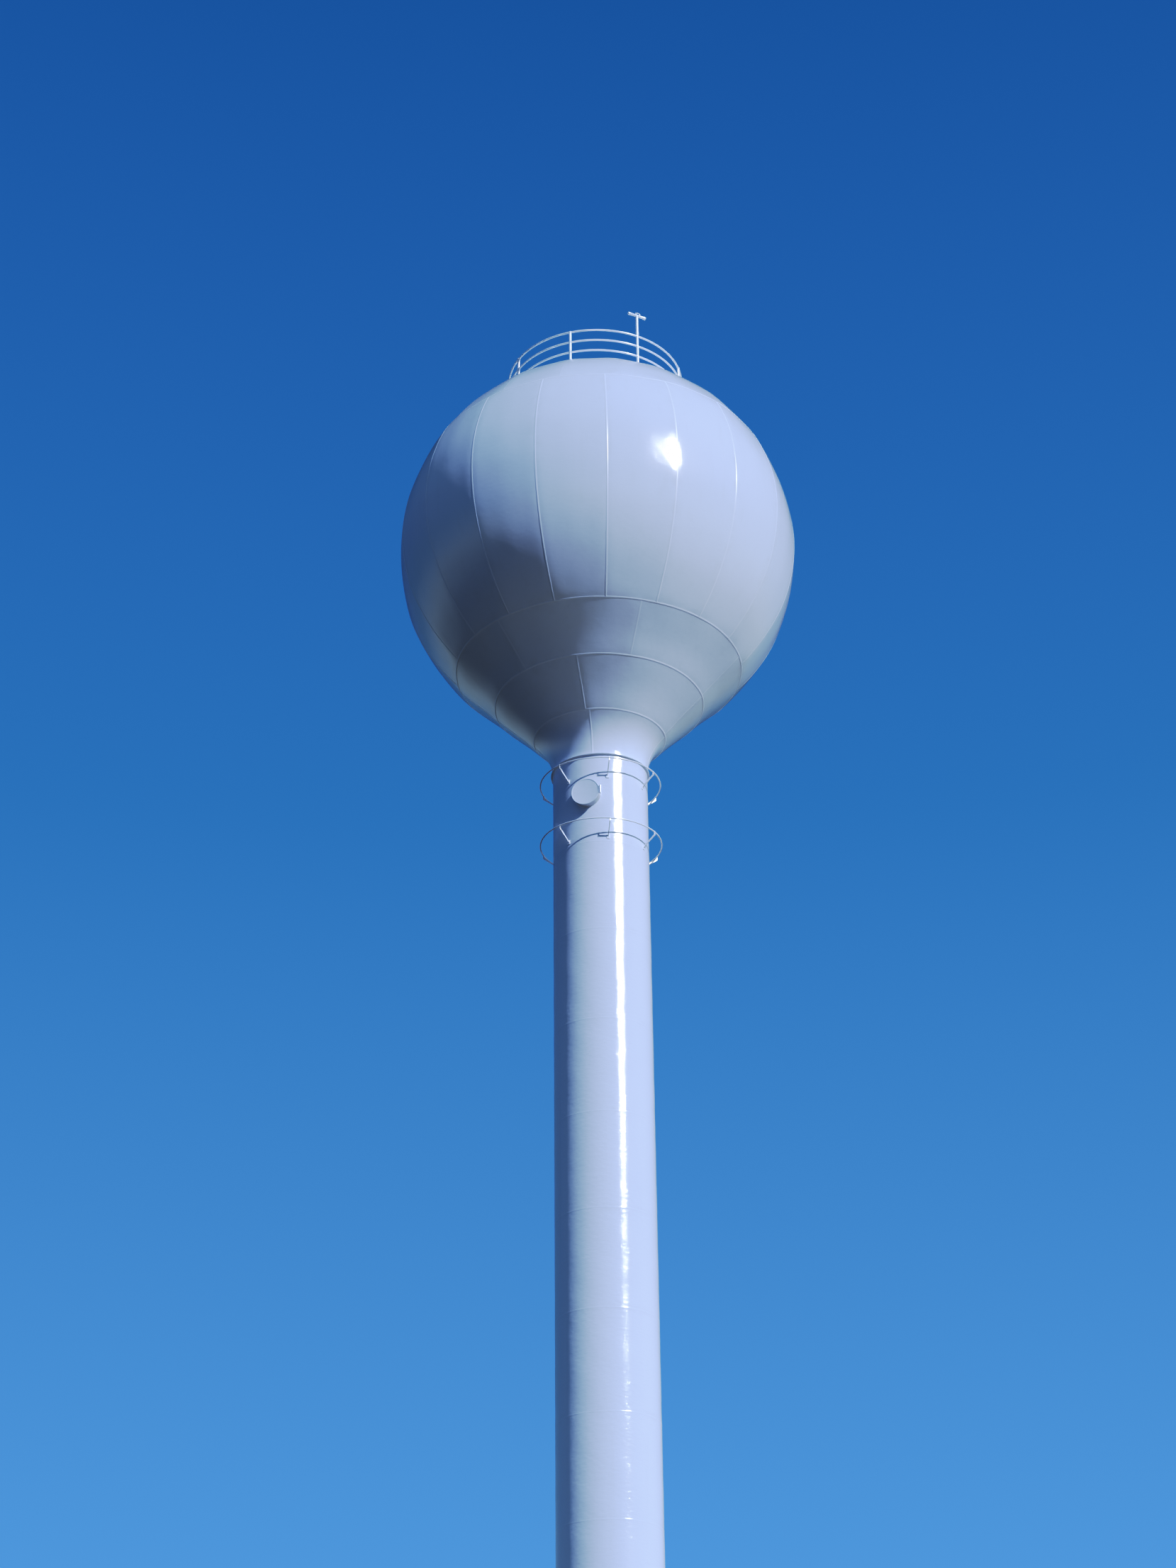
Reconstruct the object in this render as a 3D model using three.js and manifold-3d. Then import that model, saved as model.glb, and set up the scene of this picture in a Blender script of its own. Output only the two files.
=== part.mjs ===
// Elevated water tower: a welded steel sphere that stands on one slender column with a flared base.
// Every size below is the real tower's, in millimetres. The last group brings the model to a tenth of that.
// The Z axis runs up the middle of the column, and the ground is at Z = 0.
// An azimuth is an angle round the column: 0 faces -Y, and 90 degrees faces +X.

import * as THREE from 'three';
import { mergeVertices } from 'three/addons/utils/BufferGeometryUtils.js';
import Module from 'manifold-3d';

const wasm = await Module();
wasm.setup();

const modelScale = 0.1;
const gap = 3; // left between neighbouring pieces, 0.3 mm in the model

// Column: plates eight feet wide, rolled into cans and welded one on another.
const columnRadius = 1232;
const columnPlate = 13;
const courseHeight = 2438;
const coursesPerSection = [3, 3, 3, 3];
const columnTop = 36590;
const topCourseExtra = 90; // the top can is this much taller than the others

// Tank: a sphere that runs into a 45 degree cone, which a rolled knuckle turns into the column.
const sphereRadius = 5358;
const crownPlate = 8;
const gorePlate = 10;
const conePlate = 12;
const crownSeamLatitude = 28.8;
const coneSlope = 45;
const coneMiddleSeamRadius = 2744;
const coneLowerSeamRadius = 1716;
const knuckleTopRadius = 1652; // where the knuckle's arc runs into the cone, just below that seam

// Plates of each zone of the tank, and the azimuth of each zone's first seam.
const goreCount = 18;
const goreSeam = 3;
const conePlateCount = 6;
const coneSeam = 17;
const funnelPlateCount = 4;
const funnelSeam = -12;
const knucklePlateCount = 4;
const knuckleSeam = -9;
const facetsPerGore = 3;

// Diaphragm: the flat tank floor, whose rim stands out as a ledge at the top of the column.
const floorRadius = 1290;
const floorPlate = 20;

// Bell: the column flares through an arc into a cone, 25 degrees off plumb at the ground.
const bellSlope = 25;
const bellBaseRadius = 3353;
const bellPlate = 16;
const bellSplitHeight = 3600;

// Base ring with its anchor chairs.
const basePlate = 50;
const baseRingOuterRadius = 3530;
const baseRingInnerRadius = 3170;
const chairCount = 16;
const chairHeight = 290;
const chairWidth = 170;
const chairPlate = 22;
const chairClearance = 14; // from the bell to the chairs

// Door in a steel surround that stands out of the bell.
const doorWidth = 914;
const doorHeight = 2032;
const doorLeaf = 45;
const doorSill = 220;
const surroundPlate = 60;
const surroundFront = 3345;
const leafRecess = 30;

// Painters' rigging rings round the top of the column, on strut brackets.
const rigRingHeights = [36300, 34543];
const rigRingRadius = 1563;
const rigRodRadius = 18;
const rigBracketAzimuths = [-107.5, -41.5, 8.5, 61, 113, 180];
const bracketLug = 80;
const bracketDrop = 360;
const bracketWidth = 20;
const bracketDepth = 30;
const padWidth = 76;
const padHeight = 120;
const padThickness = 14;

// Manhole at the top of the column: a short neck with a flat round cover.
const manholeAzimuth = -15.8;
const manholeHeight = 35416;
const manholeNeckRadius = 350;
const manholeNeckWall = 14;
const manholeInnerEnd = 1140;
const manholeOuterEnd = 1405;
const manholeCoverRadius = 370;
const manholeCoverThickness = 24;

// Guard rail round the crown, and the mast that carries a crossbar.
const railRadius = 2440;
const railHeights = [49400, 49052, 48703];
const railPipeRadius = 27;
const railPostRadius = 36;
const railPostCount = 8;
const railPostAzimuth = 29;
const mastRadius = 39;
const mastSocketRadius = 43;
const mastSocketLength = 120;
const crossbarHeight = 50116;
const crossbarHalfLength = 285;
const crossbarRadius = 37;
const crossbarKnobRadius = 44;
const crossbarKnobLength = 90;
const crossbarKnobRound = 15;
const crossbarEyeRadius = 66;
const crossbarEyeRise = 40;
const crossbarEyeLift = 30;
const crossbarEyeOffset = 34;
const crossbarEyeRod = 11;

// Vent at the pole of the crown, and the roof hatch beside it.
const ventNeckRadius = 310;
const ventNeckHeight = 330;
const ventHoodRadius = 480;
const ventHoodRise = 130;
const ventHoodSkirt = 110;
const ventHoodPlate = 12;
const ventHoodShoulderRadius = 290;
const ventHoodShoulderRise = 90;
const roofHatchOffset = 1320;
const roofHatchAzimuth = 152;
const roofHatchRadius = 370;
const roofHatchHeight = 190;
const roofHatchLid = 28;
const roofHatchLidOverhang = 26;

const whitePaint = new THREE.MeshStandardMaterial({ color: 0xe6eaf0, roughness: 0.28, metalness: 0 });
const trimPaint = new THREE.MeshStandardMaterial({ color: 0xdfe4ec, roughness: 0.35, metalness: 0 });
const doorPaint = new THREE.MeshStandardMaterial({ color: 0xd4dae3, roughness: 0.4, metalness: 0 });

const radians = THREE.MathUtils.degToRad;

// Facets round the axis: the tank's are counted by the gore, and the column's stand square to X and Y.
const facetAngle = 360 / goreCount / facetsPerGore;
const tankFacets = goreCount * facetsPerGore;
const columnFacets = 40;
const manholeFacets = 32;
const roofFittingFacets = 24;
const postFacets = 8;
const mastFacets = 10;
const crossbarFacets = 12;
const eyeFacets = 20;
const barSides = 6;

// Heights and radii that follow from the sizes above.
const slope = radians(coneSlope);
const tangentRadius = sphereRadius * Math.cos(slope);
const knuckleArc = (knuckleTopRadius - columnRadius) / (1 - Math.cos(slope));
const knuckleTopHeight = columnTop + knuckleArc * Math.sin(slope);
const lowerSeamHeight = knuckleTopHeight + (coneLowerSeamRadius - knuckleTopRadius) * Math.tan(slope);
const middleSeamHeight = lowerSeamHeight + (coneMiddleSeamRadius - coneLowerSeamRadius) * Math.tan(slope);
const tangentHeight = lowerSeamHeight + (tangentRadius - coneLowerSeamRadius) * Math.tan(slope);
const sphereCentre = tangentHeight + sphereRadius * Math.sin(slope);
const courseCount = coursesPerSection.reduce((sum, courses) => sum + courses);
const bellTop = columnTop - topCourseExtra - courseCount * courseHeight;

// The bell's arc reaches its full slope where the straight cone to the base begins.
const bellAngle = radians(bellSlope);
const bellRise = bellTop - basePlate;
const bellGrowth = bellBaseRadius - columnRadius;
const bellArc = (bellGrowth - bellRise * Math.tan(bellAngle))
  / (1 - Math.cos(bellAngle) - Math.sin(bellAngle) * Math.tan(bellAngle));

// A point of the outer surface, seen in a plane through the axis: radius, height and the normal's angle.
const surfacePoint = (radius, height, normal) => ({ radius, height, normal });

const onSphere = (latitude) => surfacePoint(
  sphereRadius * Math.cos(radians(latitude)),
  sphereCentre + sphereRadius * Math.sin(radians(latitude)),
  radians(latitude),
);

const onCone = (radius) => surfacePoint(
  radius,
  lowerSeamHeight + (radius - coneLowerSeamRadius) * Math.tan(slope),
  -slope,
);

const onKnuckle = (angle) => surfacePoint(
  columnRadius + knuckleArc * (1 - Math.cos(angle)),
  columnTop + knuckleArc * Math.sin(angle),
  -angle,
);

const onBell = (angle) => surfacePoint(
  columnRadius + bellArc * (1 - Math.cos(angle)),
  bellTop - bellArc * Math.sin(angle),
  angle,
);

const onColumn = (height) => surfacePoint(columnRadius, height, 0);

// Points of a curve at even steps of its parameter, both ends included.
const along = (curve, from, to, steps) => Array.from(
  { length: steps + 1 },
  (_, i) => curve(from + (to - from) * i / steps),
);

// The point that lies a distance off the surface, square to it.
const grown = (point, by) => new THREE.Vector2(
  point.radius + by * Math.cos(point.normal),
  point.height + by * Math.sin(point.normal),
);

// Closed section of a plate: its outer line from bottom to top, then its inner line back down.
// Both ends are drawn in by half the gap, square to the plate.
function plateSection(points, thickness, trim = gap / 2) {
  const last = points.length - 1;
  const place = (point, index, depth) => {
    const shift = (index === 0 ? trim : 0) - (index === last ? trim : 0);
    return new THREE.Vector2(
      point.radius - depth * Math.cos(point.normal) - shift * Math.sin(point.normal),
      point.height - depth * Math.sin(point.normal) + shift * Math.cos(point.normal),
    );
  };
  const outer = points.map((point, i) => place(point, i, 0));
  const inner = points.map((point, i) => place(point, i, thickness)).reverse();
  return [...outer, ...inner];
}

// Keeps only positions, so that shared corners become one vertex and the surface closes.
function weld(geometry) {
  geometry.deleteAttribute('normal');
  geometry.deleteAttribute('uv');
  return mergeVertices(geometry, 1e-3);
}

// A section turned once round the axis, which then runs along Z.
function turned(section, facets) {
  const loop = section[0].x < 1e-6 ? section : [...section, section[0]];
  const geometry = new THREE.LatheGeometry(loop, facets);
  return weld(geometry.rotateX(Math.PI / 2));
}

// A section carried round the axis between two azimuths and closed with a flat face at each end.
// All plates share one set of facets. An end that falls inside a facet is slid along it to its place,
// less half the gap, so neighbours stay clear of each other.
function turnedPlate(section, fromAzimuth, toAzimuth) {
  const first = Math.floor((fromAzimuth - goreSeam) / facetAngle + 1e-6);
  const last = Math.ceil((toAzimuth - goreSeam) / facetAngle - 1e-6);
  const facets = last - first;
  const start = radians(goreSeam + first * facetAngle);
  const geometry = new THREE.LatheGeometry(
    [...section, section[0]],
    facets,
    start,
    radians(facets * facetAngle),
  );
  geometry.rotateX(Math.PI / 2);
  const rows = section.length + 1;
  const position = geometry.getAttribute('position');
  const slide = (column, nextColumn, azimuth, distance) => {
    for (let row = 0; row < rows; row++) {
      const here = column * rows + row;
      const there = nextColumn * rows + row;
      const [x, y] = [position.getX(here), position.getY(here)];
      const stepX = position.getX(there) - x;
      const stepY = position.getY(there) - y;
      const offset = distance - x * Math.cos(azimuth) - y * Math.sin(azimuth);
      const share = offset / (stepX * Math.cos(azimuth) + stepY * Math.sin(azimuth));
      position.setXY(here, x + stepX * share, y + stepY * share);
    }
  };
  slide(0, 1, radians(fromAzimuth), gap / 2);
  slide(facets, facets - 1, radians(toAzimuth), -gap / 2);
  const index = Array.from(geometry.getIndex().array);
  for (const [a, b, c] of THREE.ShapeUtils.triangulateShape(section, [])) {
    index.push(a, b, c);
    index.push(facets * rows + a, facets * rows + c, facets * rows + b);
  }
  geometry.setIndex(index);
  return weld(geometry);
}

// Turns a closed geometry into a solid that can be joined and cut.
function solid(geometry) {
  const welded = geometry.getAttribute('normal') ? weld(geometry) : geometry;
  return new wasm.Manifold(new wasm.Mesh({
    numProp: 3,
    vertProperties: new Float32Array(welded.getAttribute('position').array),
    triVerts: new Uint32Array(welded.getIndex().array),
  }));
}

// Brings a solid back as a three.js geometry.
function geometryOf(shape) {
  const mesh = shape.getMesh();
  const geometry = new THREE.BufferGeometry();
  geometry.setAttribute('position', new THREE.BufferAttribute(new Float32Array(mesh.vertProperties), 3));
  geometry.setIndex(new THREE.BufferAttribute(new Uint32Array(mesh.triVerts), 1));
  return geometry;
}

const join = (solids) => solids.reduce((sum, next) => sum.add(next));

// Box between two corners.
function boxBetween(low, high) {
  const size = high.map((value, axis) => value - low[axis]);
  const centre = high.map((value, axis) => (value + low[axis]) / 2);
  return new THREE.BoxGeometry(...size).translate(...centre);
}

// Cylinder of the manhole, which runs outwards from the column's axis, before it is turned to its azimuth.
function radialCylinder(radius, inner, outer) {
  return new THREE.CylinderGeometry(radius, radius, outer - inner, manholeFacets)
    .translate(0, -(inner + outer) / 2, manholeHeight);
}

// Plumb cylinder at the guard rail's radius, before it is turned to its azimuth.
function uprightAtRail(radius, foot, top, facets) {
  return new THREE.CylinderGeometry(radius, radius, top - foot, facets)
    .rotateX(Math.PI / 2)
    .translate(0, -railRadius, (top + foot) / 2);
}

// Round bar bent into a level ring.
function ringBar(ringRadius, height, barRadius) {
  return new THREE.TorusGeometry(ringRadius, barRadius, barSides, columnFacets)
    .rotateZ(Math.PI / columnFacets)
    .translate(0, 0, height);
}

// A flat outline in the plane of radius and height, given a thickness across it and turned to an azimuth.
function radialBar(outline, width, azimuth) {
  const shape = new THREE.Shape(outline.map(([radius, height]) => new THREE.Vector2(radius, height)));
  return new THREE.ExtrudeGeometry(shape, { depth: width, bevelEnabled: false })
    .translate(0, 0, -width / 2)
    .rotateX(Math.PI / 2)
    .rotateZ(radians(azimuth) - Math.PI / 2);
}

const tower = new THREE.Group();

function addMesh(name, geometry, material = whitePaint, parent = tower) {
  const mesh = new THREE.Mesh(geometry, material);
  mesh.name = name;
  parent.add(mesh);
  return mesh;
}

// One ring of equal plates with upright seams.
function addPlateRing(name, section, count, firstSeam) {
  const step = 360 / count;
  for (let i = 0; i < count; i++) {
    const from = firstSeam + i * step;
    const label = `${name}_${String(i + 1).padStart(2, '0')}`;
    addMesh(label, turnedPlate(section, from, from + step));
  }
}

// Tank: gores from the cone up to the crown seam, then cone, funnel and knuckle plates below them.
const goreSection = plateSection(along(onSphere, -coneSlope, crownSeamLatitude, 8), gorePlate);
const coneSection = plateSection([onCone(coneMiddleSeamRadius), onSphere(-coneSlope)], conePlate);
const funnelSection = plateSection([onCone(coneLowerSeamRadius), onCone(coneMiddleSeamRadius)], conePlate);
const knuckleFoot = onKnuckle(0);
knuckleFoot.height += floorPlate / 2;
const knuckleSection = plateSection(
  [knuckleFoot, ...along(onKnuckle, slope / 4, slope, 3), onCone(coneLowerSeamRadius)],
  conePlate,
);
addPlateRing('tank_gore', goreSection, goreCount, goreSeam);
addPlateRing('cone_plate', coneSection, conePlateCount, coneSeam);
addPlateRing('funnel_plate', funnelSection, funnelPlateCount, funnelSeam);
addPlateRing('knuckle_plate', knuckleSection, knucklePlateCount, knuckleSeam);

// Crown: one dished cap, open at the pole for the vent.
const ventOpening = (ventNeckRadius + gap) / Math.cos(radians(facetAngle / 2));
const ventLatitude = THREE.MathUtils.radToDeg(Math.acos(ventOpening / (sphereRadius - crownPlate)));
const crownLine = along(onSphere, crownSeamLatitude, ventLatitude, 5);
const crownSection = plateSection(crownLine, crownPlate);
addMesh('crown_cap', turned(crownSection, tankFacets).rotateZ(radians(goreSeam)));

// Diaphragm between the knuckle and the column.
const floorSection = [
  new THREE.Vector2(0, columnTop - floorPlate / 2),
  new THREE.Vector2(floorRadius, columnTop - floorPlate / 2),
  new THREE.Vector2(floorRadius, columnTop + floorPlate / 2),
  new THREE.Vector2(0, columnTop + floorPlate / 2),
];
addMesh('tank_floor', turned(floorSection, columnFacets));

// Column: four sections of welded cans. The top one is cut for the manhole.
const manholeTurn = radians(manholeAzimuth);
let sectionTop = columnTop;
coursesPerSection.forEach((courses, i) => {
  const sectionFoot = sectionTop - courses * courseHeight - (i === 0 ? topCourseExtra : 0);
  const head = i === 0 ? sectionTop - floorPlate / 2 : sectionTop;
  const wall = turned(plateSection([onColumn(sectionFoot), onColumn(head)], columnPlate), columnFacets);
  const hole = radialCylinder(manholeNeckRadius + gap, manholeInnerEnd, manholeOuterEnd).rotateZ(manholeTurn);
  const geometry = i === 0 ? geometryOf(solid(wall).subtract(solid(hole))) : wall;
  addMesh(`column_section_${i + 1}`, geometry);
  sectionTop = sectionFoot;
});

// Manhole neck through the column's wall, and its bolted cover.
const neck = solid(radialCylinder(manholeNeckRadius, manholeInnerEnd, manholeOuterEnd));
const neckBore = solid(radialCylinder(
  manholeNeckRadius - manholeNeckWall,
  manholeInnerEnd - gap,
  manholeOuterEnd + gap,
));
const coverFace = manholeOuterEnd + gap;
const cover = radialCylinder(manholeCoverRadius, coverFace, coverFace + manholeCoverThickness);
addMesh('manhole_neck', geometryOf(neck.subtract(neckBore)).rotateZ(manholeTurn), trimPaint);
addMesh('manhole_cover', cover.rotateZ(manholeTurn), trimPaint);

// Rigging rings: each rod is one ring welded to its brackets.
// A bracket drops as a lug from the rod, slants in to the column and ends in an upright pad.
const columnOutline = [[0, bellTop], [columnRadius + gap, bellTop], [columnRadius + gap, columnTop], [0, columnTop]];
const columnClearance = solid(turned(
  columnOutline.map(([radius, height]) => new THREE.Vector2(radius, height)),
  columnFacets,
));
function riggingRing(height) {
  const lugFoot = height - bracketLug;
  const footHeight = height - bracketDrop;
  const padBack = columnRadius - padThickness;
  const padFront = columnRadius + padThickness;
  const half = bracketDepth / 2;
  const strut = [
    [rigRingRadius - half, height],
    [rigRingRadius - half, lugFoot + half],
    [padFront - half, footHeight + bracketDepth],
    [padFront - half, footHeight - half],
    [rigRingRadius + half, lugFoot - half],
    [rigRingRadius + half, height],
  ];
  const pad = [
    [padBack, footHeight - padHeight / 2],
    [padFront, footHeight - padHeight / 2],
    [padFront, footHeight + padHeight / 2],
    [padBack, footHeight + padHeight / 2],
  ];
  const brackets = rigBracketAzimuths.flatMap((azimuth) => [
    solid(radialBar(strut, bracketWidth, azimuth)),
    solid(radialBar(pad, padWidth, azimuth)),
  ]);
  const rod = solid(ringBar(rigRingRadius, height, rigRodRadius));
  return geometryOf(join([rod, ...brackets]).subtract(columnClearance));
}
addMesh('rigging_ring_upper', riggingRing(rigRingHeights[0]), trimPaint);
addMesh('rigging_ring_lower', riggingRing(rigRingHeights[1]), trimPaint);

// Guard rail: three rails on eight posts that stand on the crown.
const crownOutline = [
  new THREE.Vector2(0, crownLine[0].height),
  ...crownLine.map((point) => grown(point, gap)),
  new THREE.Vector2(0, sphereCentre + sphereRadius + gap),
];
const crownClearance = solid(turned(crownOutline, tankFacets).rotateZ(radians(goreSeam)));
const railFoot = onSphere(THREE.MathUtils.radToDeg(Math.acos(railRadius / sphereRadius))).height;
const rails = railHeights.map((height) => solid(ringBar(railRadius, height, railPipeRadius)));
const postTop = railHeights[0] + railPipeRadius;
const posts = Array.from({ length: railPostCount }, (_, i) => {
  const azimuth = radians(railPostAzimuth + i * 360 / railPostCount);
  return solid(uprightAtRail(railPostRadius, railFoot - railPostRadius * 2, postTop, postFacets).rotateZ(azimuth));
});
addMesh('guard_rail', geometryOf(join([...rails, ...posts]).subtract(crownClearance)), trimPaint);

// Mast on top of one rail post, with a crossbar that runs along the rail.
const mastFoot = postTop + gap;
const mastTube = uprightAtRail(mastRadius, mastFoot, crossbarHeight, mastFacets);
const mastSocket = uprightAtRail(mastSocketRadius, mastFoot, mastFoot + mastSocketLength, mastFacets);
const knobEnd = -crossbarHalfLength;
const knobNeck = knobEnd + crossbarKnobLength;
const crossbarSection = [
  [0, knobEnd],
  [crossbarKnobRadius - crossbarKnobRound, knobEnd],
  [crossbarKnobRadius, knobEnd + crossbarKnobRound],
  [crossbarKnobRadius, knobNeck],
  [crossbarRadius, knobNeck + crossbarKnobRadius - crossbarRadius],
].map(([radius, x]) => new THREE.Vector2(radius, x));
const mirroredSection = crossbarSection.map((point) => new THREE.Vector2(point.x, -point.y)).reverse();
const crossbar = new THREE.LatheGeometry([...crossbarSection, ...mirroredSection], crossbarFacets)
  .rotateZ(Math.PI / 2)
  .translate(0, -railRadius, crossbarHeight);
const crossbarEye = new THREE.TorusGeometry(crossbarEyeRadius, crossbarEyeRod, barSides, eyeFacets)
  .rotateX(Math.PI / 2)
  .scale(1, 1, crossbarEyeRise / crossbarEyeRadius)
  .translate(crossbarEyeOffset, -railRadius, crossbarHeight + crossbarRadius + crossbarEyeLift);
const mast = join([mastTube, mastSocket, crossbar, crossbarEye].map(solid));
addMesh('mast', geometryOf(mast).rotateZ(radians(railPostAzimuth)), trimPaint);

// Vent at the pole: a neck through the crown under a shallow hood.
const poleHeight = sphereCentre + sphereRadius;
const hoodEdge = poleHeight + ventNeckHeight;
const ventFoot = poleHeight - 2 * crownPlate;
const ventSection = [
  [0, ventFoot],
  [ventNeckRadius, ventFoot],
  [ventNeckRadius, hoodEdge],
  [ventHoodRadius - ventHoodSkirt, hoodEdge],
  [ventHoodRadius - ventHoodPlate, hoodEdge - ventHoodSkirt],
  [ventHoodRadius, hoodEdge - ventHoodSkirt],
  [ventHoodRadius, hoodEdge],
  [ventHoodShoulderRadius, hoodEdge + ventHoodShoulderRise],
  [0, hoodEdge + ventHoodRise],
].map(([radius, height]) => new THREE.Vector2(radius, height));
addMesh('roof_vent', turned(ventSection, roofFittingFacets), trimPaint);

// Roof hatch: a round curb and lid, square to the crown where it stands.
const hatchTilt = Math.asin(roofHatchOffset / sphereRadius);
const hatchLidRadius = roofHatchRadius + roofHatchLidOverhang;
const hatchCurb = new THREE.CylinderGeometry(roofHatchRadius, roofHatchRadius, roofHatchHeight * 2, roofFittingFacets);
const hatchLid = new THREE.CylinderGeometry(hatchLidRadius, hatchLidRadius, roofHatchLid, roofFittingFacets)
  .translate(0, roofHatchHeight, 0);
const placeOnCrown = (geometry) => solid(geometry
  .rotateX(Math.PI / 2)
  .translate(0, 0, sphereRadius)
  .rotateX(hatchTilt)
  .translate(0, 0, sphereCentre)
  .rotateZ(radians(roofHatchAzimuth)));
const roofHatch = join([hatchCurb, hatchLid].map(placeOnCrown)).subtract(crownClearance);
addMesh('roof_hatch', geometryOf(roofHatch), trimPaint);

// Bell in two rings. The lower one is cut for the doorway.
const splitAngle = Math.asin((bellTop - bellSplitHeight) / bellArc);
const bellUpper = plateSection(along(onBell, splitAngle, 0, 3), bellPlate);
const bellFoot = surfacePoint(bellBaseRadius, basePlate, bellAngle);
const bellLower = plateSection([bellFoot, ...along(onBell, bellAngle, splitAngle, 2)], bellPlate);
bellLower[0].setY(basePlate + gap);
bellLower[bellLower.length - 1].setY(basePlate + gap);
const doorway = solid(boxBetween(
  [-doorWidth / 2 - gap, -baseRingOuterRadius, doorSill],
  [doorWidth / 2 + gap, 0, doorSill + doorHeight],
));
addMesh('bell_upper', turned(bellUpper, columnFacets));
addMesh('bell_lower', geometryOf(solid(turned(bellLower, columnFacets)).subtract(doorway)));

// Surround: a box frame round the doorway that ends on the bell. The door stands a little behind its front.
const bellOutline = [
  new THREE.Vector2(0, basePlate),
  new THREE.Vector2(bellBaseRadius + gap, basePlate),
  ...along(onBell, bellAngle, 0, 6).map((point) => grown(point, gap)),
  new THREE.Vector2(0, bellTop),
];
const surroundBox = solid(boxBetween(
  [-doorWidth / 2 - surroundPlate, -surroundFront, doorSill - surroundPlate],
  [doorWidth / 2 + surroundPlate, -columnRadius, doorSill + doorHeight + surroundPlate],
));
const surround = surroundBox.subtract(doorway).subtract(solid(turned(bellOutline, columnFacets)));
const leafFront = surroundFront - leafRecess;
const leaf = boxBetween(
  [-doorWidth / 2 + gap, -leafFront, doorSill + gap],
  [doorWidth / 2 - gap, -leafFront + doorLeaf, doorSill + doorHeight - gap],
);
addMesh('door_surround', geometryOf(surround), trimPaint);
addMesh('door', leaf, doorPaint);

// Base ring: a flat ring on the foundation that carries the bell and its anchor chairs.
const ringSection = [
  [baseRingInnerRadius, 0],
  [baseRingOuterRadius, 0],
  [baseRingOuterRadius, basePlate],
  [baseRingInnerRadius, basePlate],
].map(([radius, height]) => new THREE.Vector2(radius, height));
const chairTop = basePlate + chairHeight;
const chairSeat = chairTop - chairPlate;
const chairFoot = bellBaseRadius + chairClearance;
const chairHead = chairFoot - chairHeight * Math.tan(bellAngle);
const chairOuter = baseRingOuterRadius - chairPlate;
const chairCheek = [
  [chairFoot, basePlate - gap],
  [chairOuter, basePlate - gap],
  [chairOuter, chairTop],
  [chairHead, chairTop],
];
const chairThroat = [
  [columnRadius, basePlate],
  [baseRingOuterRadius, basePlate],
  [baseRingOuterRadius, chairSeat],
  [columnRadius, chairSeat],
];
const chairs = Array.from({ length: chairCount }, (_, i) => {
  const azimuth = (i + 0.5) * 360 / chairCount;
  const block = solid(radialBar(chairCheek, chairWidth, azimuth));
  const throat = solid(radialBar(chairThroat, chairWidth - 2 * chairPlate, azimuth));
  return block.subtract(throat);
});
addMesh('base_ring', geometryOf(join([solid(turned(ringSection, columnFacets)), ...chairs])), trimPaint);

tower.scale.setScalar(modelScale);

export default tower;
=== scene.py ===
import math

import bpy
import numpy as np
from mathutils import Matrix


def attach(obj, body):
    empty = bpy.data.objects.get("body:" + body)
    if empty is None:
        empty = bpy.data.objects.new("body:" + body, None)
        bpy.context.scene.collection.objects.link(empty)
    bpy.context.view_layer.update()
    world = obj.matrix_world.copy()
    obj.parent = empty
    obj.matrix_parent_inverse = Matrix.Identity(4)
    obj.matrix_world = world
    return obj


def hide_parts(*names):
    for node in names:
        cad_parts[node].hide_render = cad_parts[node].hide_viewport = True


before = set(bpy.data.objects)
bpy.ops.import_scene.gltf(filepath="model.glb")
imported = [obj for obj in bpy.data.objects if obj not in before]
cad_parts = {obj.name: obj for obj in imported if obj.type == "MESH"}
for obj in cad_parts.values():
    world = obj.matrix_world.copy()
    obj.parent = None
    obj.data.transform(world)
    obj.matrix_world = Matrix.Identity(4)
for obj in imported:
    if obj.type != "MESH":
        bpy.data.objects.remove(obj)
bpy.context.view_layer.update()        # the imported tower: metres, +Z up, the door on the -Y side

mm = 0.0001    # one millimetre of the real tower, in metres of this 1:10 model
realMetre = 1000 * mm
upward = np.array([0.0, 0.0, 1.0])
origin = np.zeros(3)

# The real tower's sizes in millimetres, the same ones that the construction uses.
tank = {
    "radius": 5358, "slope": 45,
    "crownPlate": 8, "gorePlate": 10, "conePlate": 12,
    "crownSeam": 28.8,               # latitude of the seam between gores and crown
    "middleSeam": 2744, "lowerSeam": 1716,    # radii of the two seams in the cone
    "knuckleTop": 1652,              # radius where the knuckle's arc runs into the cone
    "gores": 18, "goreSeam": 3,      # azimuth of the first gore seam
    "crownPetalSeam": -11.5,
    "conePlates": 6, "coneSeam": 17,
    "funnelPlates": 4, "funnelSeam": -12,
    "knucklePlates": 4, "knuckleSeam": -9,
    "floorRadius": 1290, "floorPlate": 20,
}
column = {
    "radius": 1232, "plate": 13, "top": 36590,
    "topExtra": 90,                  # the top can is this much taller than the others
    "course": 2438, "sections": [3, 3, 3, 3],
    "firstUprightSeam": 118, "seamStep": 74, "seamSpan": 140,    # upright seams step round the back
}
bell = {"slope": 25, "baseRadius": 3353, "plate": 16, "split": 3600, "foot": 50}

clearance = 3    # between neighbouring pieces that don't share a weld

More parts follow.
